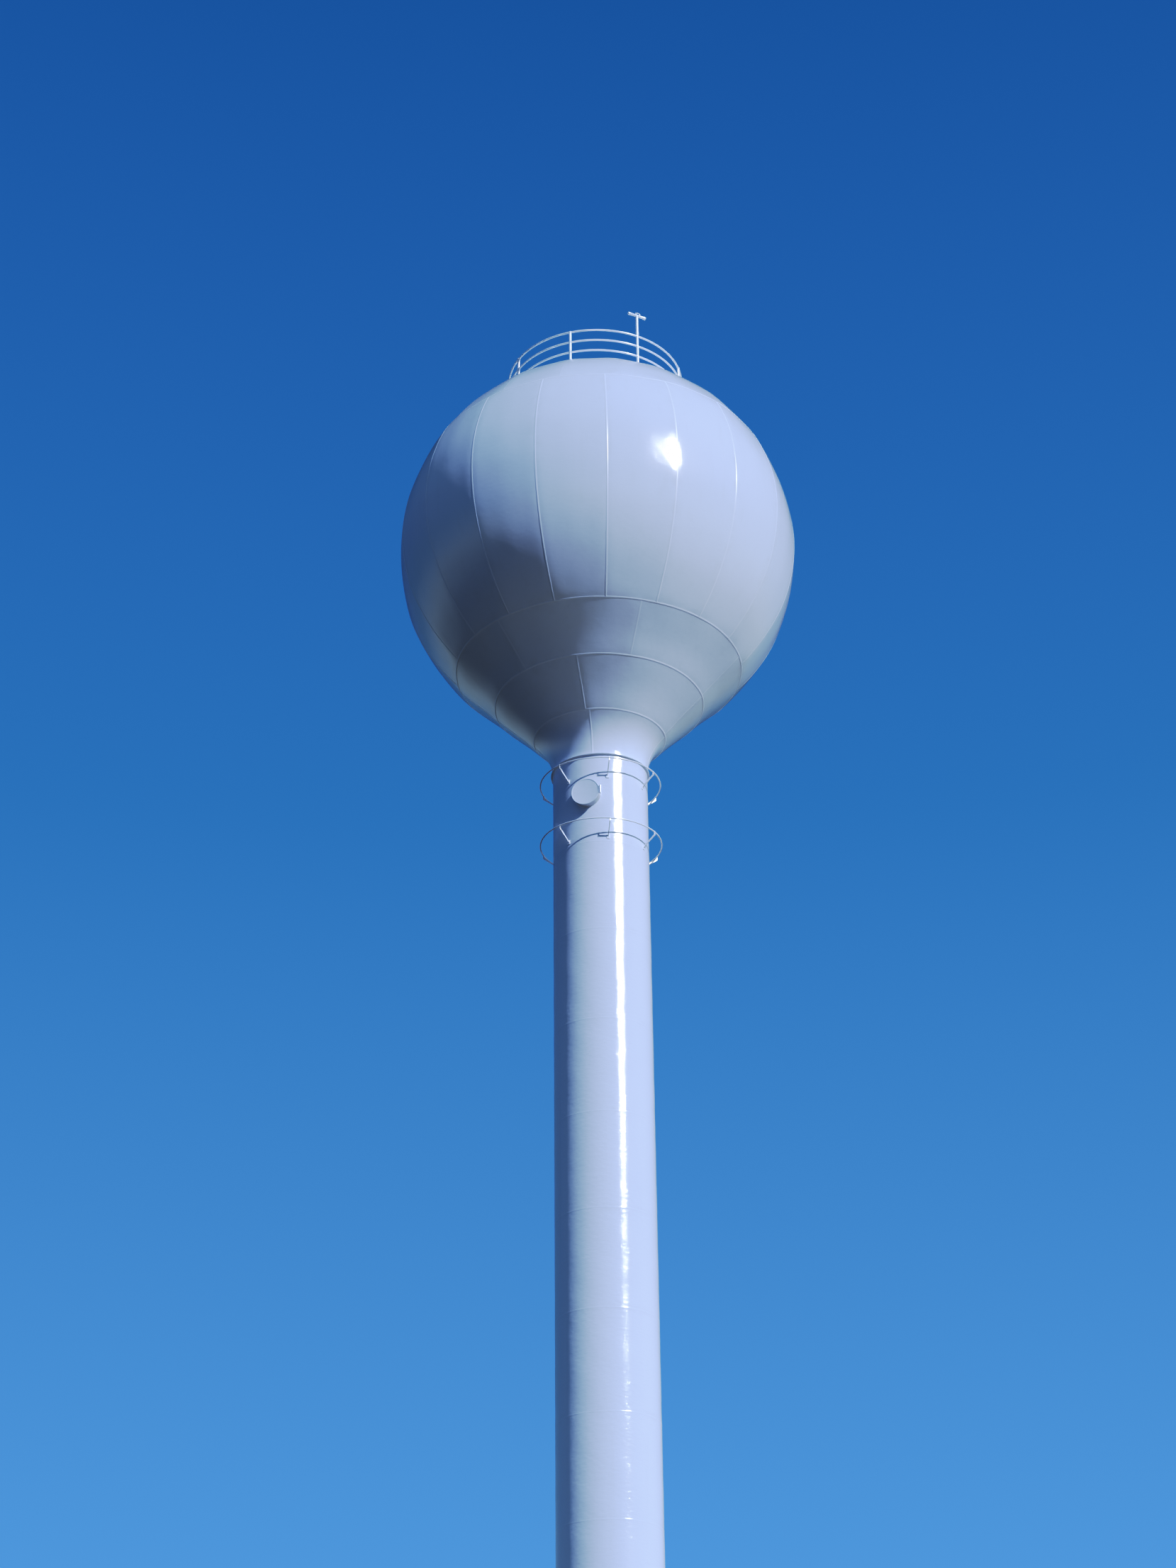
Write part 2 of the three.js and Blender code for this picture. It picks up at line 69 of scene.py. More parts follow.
# What follows from those sizes.
slope = math.radians(tank["slope"])
knuckleArc = (tank["knuckleTop"] - column["radius"]) / (1 - math.cos(slope))
knuckleTopHeight = column["top"] + knuckleArc * math.sin(slope)
lowerSeamHeight = knuckleTopHeight + (tank["lowerSeam"] - tank["knuckleTop"]) * math.tan(slope)
middleSeamHeight = lowerSeamHeight + (tank["middleSeam"] - tank["lowerSeam"]) * math.tan(slope)
tangentRadius = tank["radius"] * math.cos(slope)
tangentHeight = lowerSeamHeight + (tangentRadius - tank["lowerSeam"]) * math.tan(slope)
sphereCentre = tangentHeight + tank["radius"] * math.sin(slope)
courseTop = column["top"] - column["topExtra"]
bellTop = courseTop - sum(column["sections"]) * column["course"]
bellAngle = math.radians(bell["slope"])
bellGrowth = bell["baseRadius"] - column["radius"]
bellArc = (bellGrowth - (bellTop - bell["foot"]) * math.tan(bellAngle)) / (
    1 - math.cos(bellAngle) - math.sin(bellAngle) * math.tan(bellAngle))


# Lines of the outer surface in a plane through the axis. Each row is radius, height, angle of the normal.

# Sphere: radius = R cos(latitude), height = centre + R sin(latitude), normal = latitude.
def sphereLine(fromLatitude, toLatitude, count):
    angle = np.radians(np.linspace(fromLatitude, toLatitude, count))
    return np.stack([tank["radius"] * np.cos(angle), sphereCentre + tank["radius"] * np.sin(angle), angle], 1)


# Cone: height rises with the radius at the cone's slope.
def coneLine(fromRadius, toRadius, count):
    radius = np.linspace(fromRadius, toRadius, count)
    height = lowerSeamHeight + (radius - tank["lowerSeam"]) * math.tan(slope)
    return np.stack([radius, height, np.full(count, -slope)], 1)


# Knuckle: radius = column + arc (1 - cos a), height = top + arc sin a, from plumb to the cone's slope,
# and then a short piece of cone.
def knuckleLine(fromAngle, count):
    angle = np.linspace(fromAngle, slope, count)
    radius = column["radius"] + knuckleArc * (1 - np.cos(angle))
    arc = np.stack([radius, column["top"] + knuckleArc * np.sin(angle), -angle], 1)
    return np.concatenate([arc, coneLine(tank["knuckleTop"], tank["lowerSeam"], 4)[1:]])


# Column: a plumb line.
def columnLine(low, high, count):
    height = np.linspace(low, high, count)
    return np.stack([np.full(count, column["radius"]), height, np.zeros(count)], 1)


# Bell: an arc from the column's foot, radius = column + arc (1 - cos a), that leans out to the bell's slope,
# then a straight line to the base.
def bellLine(heights):
    straightTop = bellTop - bellArc * math.sin(bellAngle)
    angle = np.arcsin(np.clip((bellTop - heights) / bellArc, 0, math.sin(bellAngle)))
    radius = column["radius"] + bellArc * (1 - np.cos(angle))
    radius = radius + np.clip(straightTop - heights, 0, None) * math.tan(bellAngle)
    return np.stack([radius, heights, angle], 1)


# Mesh helpers. A chunk is an array of points and a list of face blocks, one block for each face size.

# Quads of a grid whose point (row, column) has the index row * columns + column.
def gridQuads(rows, cols, wrapRows=False, wrapCols=False):
    r, c = np.meshgrid(np.arange(rows if wrapRows else rows - 1),
                       np.arange(cols if wrapCols else cols - 1), indexing="ij")
    nextRow, nextCol = (r + 1) % rows, (c + 1) % cols
    corners = [r * cols + c, nextRow * cols + c, nextRow * cols + nextCol, r * cols + nextCol]
    return np.stack(corners, -1).reshape(-1, 4)


# Signed volume: a sixth of the sum of a . (b x c) over a fan of triangles in each face.
def outward(points, blocks):
    volume = 0.0
    for block in blocks:
        corners = points[block]
        for k in range(1, block.shape[1] - 1):
            cross = np.cross(corners[:, k], corners[:, k + 1])
            volume += np.einsum("ij,ij->", corners[:, 0], cross)
    return (points, blocks if volume > 0 else [block[:, ::-1] for block in blocks])


# Point on a circle about the axis: (r sin a, -r cos a, z).
def roundAxis(radius, azimuth, height):
    radius, azimuth, height = np.broadcast_arrays(radius, azimuth, height)
    return np.stack([radius * np.sin(azimuth), -radius * np.cos(azimuth), height], -1)


# A closed plate: the outer line is lifted along its normal, the inner one lies a plate's thickness under it,
# and both are carried round the axis through the given azimuths.
def shellPlate(line, azimuths, thickness, lift, wrap=False):
    azimuth = np.radians(azimuths)[:, None]
    radius, height, normal = line.T

    def place(depth):
        return roundAxis(radius + depth * np.cos(normal), azimuth, height + depth * np.sin(normal))

    outer, inner = place(lift), place(np.full(lift.shape, -float(thickness)))
    rows, cols = len(azimuths), len(line)
    points = np.concatenate([outer, inner[:, ::-1]], 1).reshape(-1, 3) * mm
    blocks = [gridQuads(rows, 2 * cols, wrap, True)]
    if not wrap:
        i = np.arange(cols - 1)
        cap = np.stack([i, i + 1, 2 * cols - 2 - i, 2 * cols - 1 - i], 1)
        blocks += [cap, cap[:, ::-1] + (rows - 1) * 2 * cols]
    return outward(points, blocks)


# Angles of a full turn in equal steps: 2 pi i / n, and the same in degrees.
def fullTurn(steps):
    return np.arange(steps) * 2 * math.pi / steps


def fullCompass(steps):
    return np.arange(steps) * 360 / steps


# Rings of points joined to a skin. It closes on itself, or gets a flat cap at each end.
def tube(rings, closed):
    rows, cols = rings.shape[:2]
    blocks = [gridQuads(rows, cols, closed, True)]
    if not closed:
        first = np.arange(cols)[None, :]
        blocks += [first, first[:, ::-1] + (rows - 1) * cols]
    return outward(rings.reshape(-1, 3) * mm, blocks)


# A profile of (radius, distance) turned round the line from base along direction:
# point = base + distance * along + radius (cos a * side + sin a * other).
def turn(profile, base, direction, sides, hollow=False):
    profile, base = np.asarray(profile, float), np.asarray(base, float)
    along = np.asarray(direction, float) / np.linalg.norm(direction)
    helper = upward if abs(along[2]) < 0.9 else np.array([1.0, 0.0, 0.0])
    side = np.cross(helper, along)
    side /= np.linalg.norm(side)
    other = np.cross(along, side)
    angle = fullTurn(sides)
    rim = np.cos(angle)[:, None] * side + np.sin(angle)[:, None] * other
    points = base + profile[:, 1, None, None] * along + profile[:, 0, None, None] * rim
    return tube(points, closed=hollow)


# Torus about the axis: the rod's circle is carried round a level circle.
def ringRod(radius, height, rod, steps, sides):
    u, v = fullTurn(steps)[:, None], fullTurn(sides)[None, :]
    points = roundAxis(radius + rod * np.cos(v), u, height + rod * np.sin(v))
    return outward(points.reshape(-1, 3) * mm, [gridQuads(steps, sides, True, True)])


# Half an ellipse carried along a path: side = tangent x normal, with its root sunk under the plate and a
# ripple of 1 + 0.12 sin(2.4 i) in its height.
def weldBead(path, normals, width, height, closed):
    tangent = np.gradient(path, axis=0)
    if closed:
        tangent = np.roll(path, -1, 0) - np.roll(path, 1, 0)
    side = np.cross(tangent, normals)
    side /= np.linalg.norm(side, axis=1)[:, None]
    t = np.linspace(0, math.pi, 6)
    across = np.concatenate([np.cos(t), [-0.8, 0.8]]) * width / 2
    up = np.concatenate([np.sin(t) * height, [-height, -height]])
    ripple = 1 + 0.12 * np.sin(np.arange(len(path)) * 2.4)[:, None, None]
    rings = path[:, None] + side[:, None] * across[:, None] + normals[:, None] * up[:, None] * ripple
    return tube(rings, closed)


# A flat outline in the plane of u and v, given a thickness along w = u x v, with its two rims drawn in:
# point = corner + x u + y v + d w.
def slab(outline, corner, u, v, thickness, rim):
    outline, corner = np.asarray(outline, float), np.asarray(corner, float)
    u, v = np.asarray(u, float), np.asarray(v, float)
    w = np.cross(u, v)
    centre = outline.mean(0)
    reach = np.linalg.norm(outline - centre, axis=1)[:, None]
    drawn = centre + (outline - centre) * (1 - rim / reach)
    layers = [(drawn, 0), (outline, rim), (outline, thickness - rim), (drawn, thickness)]
    return tube(np.stack([corner + o[:, :1] * u + o[:, 1:] * v + d * w for o, d in layers]), closed=False)


# Rectangle with round corners, as an outline of four quarter circles.
def roundedRectangle(width, height, radius, steps=4):
    t = np.linspace(0, math.pi / 2, steps)
    corners = []
    for k, (sx, sy) in enumerate(((1, 1), (-1, 1), (-1, -1), (1, -1))):
        angle = t + k * math.pi / 2
        corners.append(np.stack([sx * (width / 2 - radius) + radius * np.cos(angle),
                                 sy * (height / 2 - radius) + radius * np.sin(angle)], 1))
    return np.concatenate(corners)


# Path or closed outline with its corners rounded by a parabola: (1-t)^2 A + 2t(1-t) B + t^2 C.
def roundedCorners(points, reach, steps=4, closed=True):
    points = np.asarray(points, float)
    corner = points if closed else points[1:-1]
    before = (np.roll(points, 1, 0) if closed else points[:-2]) - corner
    after = (np.roll(points, -1, 0) if closed else points[2:]) - corner
    start = (corner + before / np.linalg.norm(before, axis=1)[:, None] * reach)[:, None]
    end = (corner + after / np.linalg.norm(after, axis=1)[:, None] * reach)[:, None]
    t = np.linspace(0, 1, steps)[None, :, None]
    curve = (1 - t) ** 2 * start + 2 * t * (1 - t) * corner[:, None] + t ** 2 * end
    curve = curve.reshape(-1, points.shape[1])
    return curve if closed else np.concatenate([points[:1], curve, points[-1:]])


# Unit vectors at an azimuth: outwards from the axis, along the circle, and up.
def bearing(azimuth):
    a = math.radians(azimuth)
    return np.array([math.sin(a), -math.cos(a), 0.0]), np.array([math.cos(a), math.sin(a), 0.0]), upward


# Hexagon head with a chamfer, over a washer.
def hexBolt(base, direction, acrossFlats, height):
    corner = acrossFlats / math.sqrt(3)
    washer = turn([[corner * 1.25, 0], [corner * 1.25, height * 0.16]], base, direction, 16)
    head = [[corner, height * 0.16], [corner, height * 0.85], [corner * 0.85, height]]
    return [washer, turn(head, base, direction, 6)]


# Puts chunks into one mesh object that rides on the tower, with sharp edges kept past an angle.
def makePiece(name, chunks, material, replaced=(), values=None, sharpAngle=40):
    points = np.concatenate([p for p, _ in chunks])
    offsets = np.cumsum([0] + [len(p) for p, _ in chunks])
    corners = [(block + o).ravel() for (_, blocks), o in zip(chunks, offsets) for block in blocks]
    sizes = [np.full(len(block), block.shape[1]) for _, blocks in chunks for block in blocks]
    corners, sizes = np.concatenate(corners), np.concatenate(sizes)
    mesh = bpy.data.meshes.new(name)
    mesh.vertices.add(len(points))
    mesh.vertices.foreach_set("co", points.ravel().astype(np.float32))
    mesh.loops.add(len(corners))
    mesh.loops.foreach_set("vertex_index", corners.astype(np.int32))
    mesh.polygons.add(len(sizes))
    mesh.polygons.foreach_set("loop_start", (np.cumsum(sizes) - sizes).astype(np.int32))
    mesh.update(calc_edges=True)
    mesh.validate()
    if values is not None:
        layer = mesh.attributes.new("seam", "FLOAT", "POINT")
        layer.data.foreach_set("value", values.astype(np.float32))
    mesh.shade_smooth()
    mesh.set_sharp_from_angle(angle=math.radians(sharpAngle))
    mesh.materials.append(material)
    piece = bpy.data.objects.new(name, mesh)
    bpy.context.scene.collection.objects.link(piece)
    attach(piece, "root")
    if replaced:
        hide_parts(*replaced)
    return piece


# Camera: the photo's place and aim. Yaw turns it left of the column, roll tips its top.
photoView = {"distance": 62111, "eye": 1600, "pitch": 29.258, "yaw": -0.2964, "roll": -0.5949, "lens": 62.69}


def makeCamera():
    pitch, yaw, roll = (math.radians(photoView[k]) for k in ("pitch", "yaw", "roll"))
    forward = np.array([math.sin(yaw) * math.cos(pitch), math.cos(yaw) * math.cos(pitch), math.sin(pitch)])
    right = np.array([math.cos(yaw), -math.sin(yaw), 0.0])
    up = np.cross(right, forward)
    rolledRight = math.cos(roll) * right + math.sin(roll) * up
    rolledUp = math.cos(roll) * up - math.sin(roll) * right
    data = bpy.data.cameras.new("photoCamera")
    data.lens, data.sensor_width = photoView["lens"], 36
    data.clip_end = 500
    camera = bpy.data.objects.new("photoCamera", data)
    place = (0.0, -photoView["distance"] * mm, photoView["eye"] * mm)
    turned = np.eye(4)
    turned[:3, 0], turned[:3, 1], turned[:3, 2], turned[:3, 3] = rolledRight, rolledUp, -forward, place
    camera.matrix_world = Matrix(turned.tolist())
    bpy.context.scene.collection.objects.link(camera)
    bpy.context.scene.camera = camera


makeCamera()
print("camera set")

# Light: a sun behind the camera's right shoulder, with a lamp of its own for what the gloss mirrors of it,
# and soft lamps from the ground, the top of the sky and the back. The sky has three coats: the one that the
# camera sees, the one that lights, and the one that the gloss mirrors. Each stop is a sine of elevation and
# a colour.
studio = {
    "sunAzimuth": 43, "sunElevation": 32, "sunStrength": 5.15, "sunWidth": 1.0,
    "sunColour": (0.618, 0.765, 1.165),
    "glintStrength": 14.0, "glintColour": (0.96, 0.98, 1.0),
    "bounceAzimuth": 76, "bounceElevation": -28, "bounceStrength": 0.82, "bounceWidth": 40,
    "bounceColour": (0.71, 0.79, 0.86),
    "topAzimuth": -25, "topElevation": 72, "topStrength": 0.8, "topWidth": 46,
    "topColour": (0.44, 0.7, 0.88),
    "backAzimuth": 190, "backElevation": 24, "backStrength": 2.4, "backWidth": 40,
    "backColour": (0.7, 0.82, 1.0),
    "seenSky": [
        (-1.0, (0.5, 0.54, 0.58)), (-0.1, (0.6, 0.66, 0.72)), (0.0, (0.62, 0.72, 0.82)),
        (0.12, (0.24, 0.42, 0.88)), (0.22, (0.08, 0.265, 0.98)), (0.48, (0.025, 0.152, 0.51)),
        (0.74, (0.008, 0.08, 0.27)),
    ],
    "lightSky": [
        (-1.0, (0.026, 0.0245, 0.0175)), (-0.16, (0.025, 0.0245, 0.0195)), (-0.05, (0.09, 0.103, 0.107)),
        (0.03, (0.162, 0.2, 0.22)), (0.11, (0.07, 0.162, 0.3)), (0.22, (0.043, 0.151, 0.47)),
        (0.48, (0.0135, 0.084, 0.286)), (0.74, (0.0043, 0.043, 0.151)),
    ],
    "mirroredSky": [
        (-1.0, (0.011, 0.011, 0.01)), (-0.26, (0.016, 0.0195, 0.0215)), (-0.1, (0.195, 0.28, 0.356)),
        (0.04, (0.335, 0.497, 0.62)), (0.16, (0.151, 0.313, 0.54)), (0.28, (0.027, 0.13, 0.3)),
        (0.48, (0.0065, 0.0486, 0.173)), (0.74, (0.0027, 0.027, 0.097)),
    ],
    "floorColour": (0.66, 0.6, 0.5), "floorShade": 0.96, "floorRadius": 60.0,
    # Light in, light shown: it rolls the brightest light off.
    "tones": [(0.0, 0.0), (0.04, 0.036), (0.1, 0.1), (0.2, 0.228), (0.35, 0.4), (0.56, 0.525), (0.75, 0.612),
              (1.0, 0.73), (1.25, 0.84), (1.5, 0.95), (1.75, 1.0)],
}


def makeSun(name, strength, width, colour, azimuth, elevation):
    data = bpy.data.lights.new(name, "SUN")
    data.energy, data.angle, data.color = strength, math.radians(width), colour
    sun = bpy.data.objects.new(name, data)
    sun.rotation_euler = (math.radians(90 - elevation), 0, math.radians(azimuth))
    bpy.context.scene.collection.objects.link(sun)
    return sun


# The lamps and the sky. Height on the dome is the sine of elevation, taken from -1 ... 1 to 0 ... 1.
def makeLights():
    for name, kind in (("keySun", "sun"), ("softBounce", "bounce"), ("softTop", "top"), ("softBack", "back")):
        lamp = makeSun(name, studio[kind + "Strength"], studio[kind + "Width"], studio[kind + "Colour"],
                       studio[kind + "Azimuth"], studio[kind + "Elevation"])
        lamp.visible_glossy = False
    glint = makeSun("glintSun", studio["glintStrength"], studio["sunWidth"], studio["glintColour"],
                    studio["sunAzimuth"], studio["sunElevation"])
    glint.visible_diffuse = False
    world = bpy.data.worlds.new("studioDome")
    bpy.context.scene.world = world
    world.use_nodes = True
    nodes, links = world.node_tree.nodes, world.node_tree.links
    nodes.clear()
    coordinate = nodes.new("ShaderNodeTexCoord")
    split = nodes.new("ShaderNodeSeparateXYZ")
    links.new(coordinate.outputs["Generated"], split.inputs[0])
    height = nodes.new("ShaderNodeMapRange")
    height.inputs["From Min"].default_value = -1
    links.new(split.outputs["Z"], height.inputs["Value"])
    coats = {}
    for name in ("seenSky", "lightSky", "mirroredSky"):
        ramp = nodes.new("ShaderNodeValToRGB")
        for sine, _ in studio[name][1:-1]:
            ramp.color_ramp.elements.new((1 + sine) / 2)
        for element, (sine, colour) in zip(ramp.color_ramp.elements, studio[name]):
            element.position, element.color = (1 + sine) / 2, (*colour, 1)
        links.new(height.outputs[0], ramp.inputs[0])
        coats[name] = ramp.outputs[0]
    ray = nodes.new("ShaderNodeLightPath")
    colour = coats["lightSky"]
    for kind, name in (("Is Glossy Ray", "mirroredSky"), ("Is Camera Ray", "seenSky")):
        choice = nodes.new("ShaderNodeMix")
        choice.data_type = "RGBA"
        for output, number in ((ray.outputs[kind], 0), (colour, 6), (coats[name], 7)):
            links.new(output, choice.inputs[number])
        colour = choice.outputs[2]
    lit = nodes.new("ShaderNodeBackground")
    links.new(colour, lit.inputs[0])
    links.new(lit.outputs[0], nodes.new("ShaderNodeOutputWorld").inputs[0])


# The tone curve, on a scale where its brightest light is 1.
def setTones():
    view = bpy.context.scene.view_settings
    view.view_transform = "Standard"
    view.use_curve_mapping = True
    brightest = studio["tones"][-1][0]
    view.curve_mapping.white_level = (brightest,) * 3
    view.curve_mapping.extend = "HORIZONTAL"
    curve = view.curve_mapping.curves[3]
    for given, shown in studio["tones"][1:-1]:
        curve.points.new(given / brightest, shown)
    for point, (given, shown) in zip(curve.points, studio["tones"]):
        point.location = (given / brightest, shown)
        point.handle_type = "AUTO_CLAMPED"
    view.curve_mapping.update()


makeLights()
setTones()
print("lights set")


# Shader node groups, each built once. Their sockets carry only heights, masks and colours.

# Adds a node, sets its plain inputs, and joins its other inputs to the given outputs.
def addNode(tree, kind, settings=None, values=None, feeds=None):
    node = tree.nodes.new(kind)
    for key, value in (settings or {}).items():
        setattr(node, key, value)
    for key, value in (values or {}).items():
        node.inputs[key].default_value = value
    for key, output in (feeds or {}).items():
        tree.links.new(output, node.inputs[key])
    return node


def newGroup(name, inputs, outputs):
    tree = bpy.data.node_groups.new(name, "ShaderNodeTree")
    for label, value in inputs:
        kind = "NodeSocketColor" if isinstance(value, tuple) else "NodeSocketFloat"
        socket = tree.interface.new_socket(label, in_out="INPUT", socket_type=kind)
        socket.default_value = value
    for label, kind in outputs:
        tree.interface.new_socket(label, in_out="OUTPUT", socket_type=kind)
    return tree, tree.nodes.new("NodeGroupInput"), tree.nodes.new("NodeGroupOutput")


# Noises of the painted plate: name, waves to a real metre across and upright, detail.
reliefNoises = (("Dents", 1.6, 1.6, 2.0), ("Ripples", 7.0, 13.0, 2.0), ("Peel", 62.0, 175.0, 1.0))


# Height of the painted plate in metres: dents, ripples and orange peel, each a noise times its own depth.
def buildPlateRelief():
    tree, given, out = newGroup("plateRelief", [("Dents", 0.0003), ("Ripples", 0.0002), ("Peel", 0.00003)],
                                [("Height", "NodeSocketFloat")])
    where = addNode(tree, "ShaderNodeTexCoord").outputs["Object"]
    total = None
    for label, level, upright, detail in reliefNoises:
        placed = addNode(tree, "ShaderNodeMapping", None,
                         {"Scale": (level / realMetre, level / realMetre, upright / realMetre)},
                         {"Vector": where})
        noise = addNode(tree, "ShaderNodeTexNoise", None, {"Scale": 1.0, "Detail": detail},
                        {"Vector": placed.outputs[0]})
        part = addNode(tree, "ShaderNodeMath", {"operation": "MULTIPLY"}, None,
                       {0: noise.outputs["Fac"], 1: given.outputs[label]}).outputs[0]
        total = part if total is None else addNode(tree, "ShaderNodeMath", {"operation": "ADD"}, None,
                                                   {0: total, 1: part}).outputs[0]
    tree.links.new(total, out.inputs["Height"])
    return tree


# Colour of weathered paint: broad patches, and rain streaks from a noise that is stretched upright.
def buildWeather():
    tree, given, out = newGroup(
        "weatheredPaint",
        [("Paint", (0.8, 0.8, 0.8, 1)), ("Chalk", (0.8, 0.8, 0.8, 1)), ("Soil", (0.4, 0.4, 0.4, 1)),
         ("Patches", 0.5), ("Streaks", 0.2)],
        [("Color", "NodeSocketColor"), ("Mask", "NodeSocketFloat")])
    where = addNode(tree, "ShaderNodeTexCoord").outputs["Object"]
    patch = addNode(tree, "ShaderNodeTexNoise", None, {"Scale": 0.35 / realMetre, "Detail": 3.0},
                    {"Vector": where})
    patchRange = addNode(tree, "ShaderNodeMapRange", None, {"From Min": 0.4, "From Max": 0.65},
                         {"Value": patch.outputs["Fac"], "To Max": given.outputs["Patches"]})
    chalked = addNode(tree, "ShaderNodeMix", {"data_type": "RGBA"}, None,
                      {0: patchRange.outputs[0], 6: given.outputs["Paint"], 7: given.outputs["Chalk"]})
    stretch = addNode(tree, "ShaderNodeMapping", None,
                      {"Scale": (4.5 / realMetre, 4.5 / realMetre, 0.18 / realMetre)}, {"Vector": where})
    streak = addNode(tree, "ShaderNodeTexNoise", None, {"Scale": 1.0, "Detail": 4.0},
                     {"Vector": stretch.outputs[0]})
    streakRange = addNode(tree, "ShaderNodeMapRange", None, {"From Min": 0.56, "From Max": 0.78},
                          {"Value": streak.outputs["Fac"], "To Max": given.outputs["Streaks"]})
    soiled = addNode(tree, "ShaderNodeMix", {"data_type": "RGBA"}, None,
                     {0: streakRange.outputs[0], 6: chalked.outputs[2], 7: given.outputs["Soil"]})
    tree.links.new(soiled.outputs[2], out.inputs["Color"])
    tree.links.new(streakRange.outputs[0], out.inputs["Mask"])
    return tree


# Soil that gathers beside the welds: the seam attribute, broken up by a noise.
def buildSeamSoil():
    tree, given, out = newGroup("seamSoil", [("Amount", 0.4)], [("Mask", "NodeSocketFloat")])
    where = addNode(tree, "ShaderNodeTexCoord").outputs["Object"]
    noise = addNode(tree, "ShaderNodeTexNoise", None, {"Scale": 2.5 / realMetre, "Detail": 5.0},
                    {"Vector": where})
    broken = addNode(tree, "ShaderNodeMapRange", None, {"From Min": 0.45, "From Max": 0.7},
                     {"Value": noise.outputs["Fac"]})
    near = addNode(tree, "ShaderNodeAttribute", {"attribute_name": "seam"})
    both = addNode(tree, "ShaderNodeMath", {"operation": "MULTIPLY"}, None,
                   {0: near.outputs["Fac"], 1: broken.outputs[0]})
    scaled = addNode(tree, "ShaderNodeMath", {"operation": "MULTIPLY"}, None,
                     {0: both.outputs[0], 1: given.outputs["Amount"]})
    tree.links.new(scaled.outputs[0], out.inputs["Mask"])
    return tree


relief, weather, seamSoil = buildPlateRelief(), buildWeather(), buildSeamSoil()


# One finish: the groups feed colour, roughness and bump, and the plain values sit on the shader itself.
def makePaint(name, look):
    material = bpy.data.materials.new(name)
    material.use_nodes = True
    tree = material.node_tree
    shader = tree.nodes["Principled BSDF"]
    shader.inputs["IOR"].default_value = 1.5
    shader.inputs["Diffuse Roughness"].default_value = look["chalkiness"]
    shader.inputs["Coat Weight"].default_value = look["coat"]
    shader.inputs["Coat Roughness"].default_value = look["coatRoughness"]
    colour = addNode(tree, "ShaderNodeGroup", {"node_tree": weather},
                     {"Paint": (*look["paint"], 1), "Chalk": (*look["chalk"], 1), "Soil": (*look["soil"], 1),
                      "Patches": look["patches"], "Streaks": look["streaks"]})
    soil = addNode(tree, "ShaderNodeGroup", {"node_tree": seamSoil}, {"Amount": look["seamSoil"]})
    mixed = addNode(tree, "ShaderNodeMix", {"data_type": "RGBA"}, {7: (*look["soil"], 1)},
                    {0: soil.outputs["Mask"], 6: colour.outputs["Color"]})
    tree.links.new(mixed.outputs[2], shader.inputs["Base Color"])
    rough = addNode(tree, "ShaderNodeMapRange", None,
                    {"To Min": look["roughness"], "To Max": look["dullRoughness"]},
                    {"Value": colour.outputs["Mask"]})
    tree.links.new(rough.outputs[0], shader.inputs["Roughness"])
    height = addNode(tree, "ShaderNodeGroup", {"node_tree": relief},
                     {label.title(): look[label] * mm for label in ("dents", "ripples", "peel")})
    bump = addNode(tree, "ShaderNodeBump", None, {"Distance": 1.0}, {"Height": height.outputs["Height"]})
    tree.links.new(bump.outputs[0], shader.inputs["Normal"])
    return material


# Finishes. The depths of dents, ripples and peel are in real millimetres.
tankLook = {
    "paint": (0.705, 0.785, 0.91), "chalk": (0.675, 0.76, 0.89), "soil": (0.42, 0.44, 0.45),
    "patches": 0.6, "streaks": 0.08, "seamSoil": 0.16, "chalkiness": 0.35,
    "roughness": 0.12, "dullRoughness": 0.28, "coat": 0.3, "coatRoughness": 0.05,
    "dents": 6.0, "ripples": 1.7, "peel": 0.9,
}
columnLook = dict(tankLook, dents=3.0, ripples=3.4, peel=1.0)
# The weld beads' paint is a little lighter than the plates': a painted highlight, so that the beads read as
# light lines, also in the shade.
weldHighlightLook = dict(tankLook, paint=(0.725, 0.8, 0.915), chalk=(0.705, 0.785, 0.905), roughness=0.3, coat=0.0,
                dents=0.0, ripples=1.0, peel=0.3)
# The manhole neck's paint is much darker than the column's: painted shade, standing in for the shade under
# the cover. Its heavier streaks are soil.
neckShadeLook = dict(columnLook, paint=(0.45, 0.5, 0.57), chalk=(0.4, 0.44, 0.5), streaks=0.3, roughness=0.3)
trimLook = dict(tankLook, paint=(0.8, 0.86, 0.95), chalk=(0.77, 0.83, 0.92), roughness=0.24, dents=0.0,
                ripples=0.6, peel=0.1, streaks=0.15, seamSoil=0.0)
doorLook = dict(tankLook, paint=(0.70, 0.75, 0.82), roughness=0.3, dents=1.5, ripples=0.5, streaks=0.25)
steelLook = dict(trimLook, paint=(0.55, 0.57, 0.6), chalk=(0.45, 0.46, 0.47), coat=0.0, roughness=0.45)

tankPaint = makePaint("tankPaint", tankLook)
columnPaint = makePaint("columnPaint", columnLook)
weldHighlightPaint = makePaint("weldHighlightPaint", weldHighlightLook)
neckShadePaint = makePaint("neckShadePaint", neckShadeLook)
trimPaint = makePaint("trimPaint", trimLook)
doorPaint = makePaint("doorPaint", doorLook)
fastenerSteel = makePaint("fastenerSteel", steelLook)
print("materials made")

# Waviness of the plates in real millimetres, and how far they stand out at their welds.
waves = {
    "tankDepth": 3.0, "columnDepth": 1.2, "terms": 9,
    "peak": 20.0, "peakReach": 340, "levelPeak": 14.0, "reachAbove": 260, "reachBelow": 460, "blend": 110,
    "seamReach": 140, "fullPeakRadius": 1800, "girthPeak": 0.8,
}


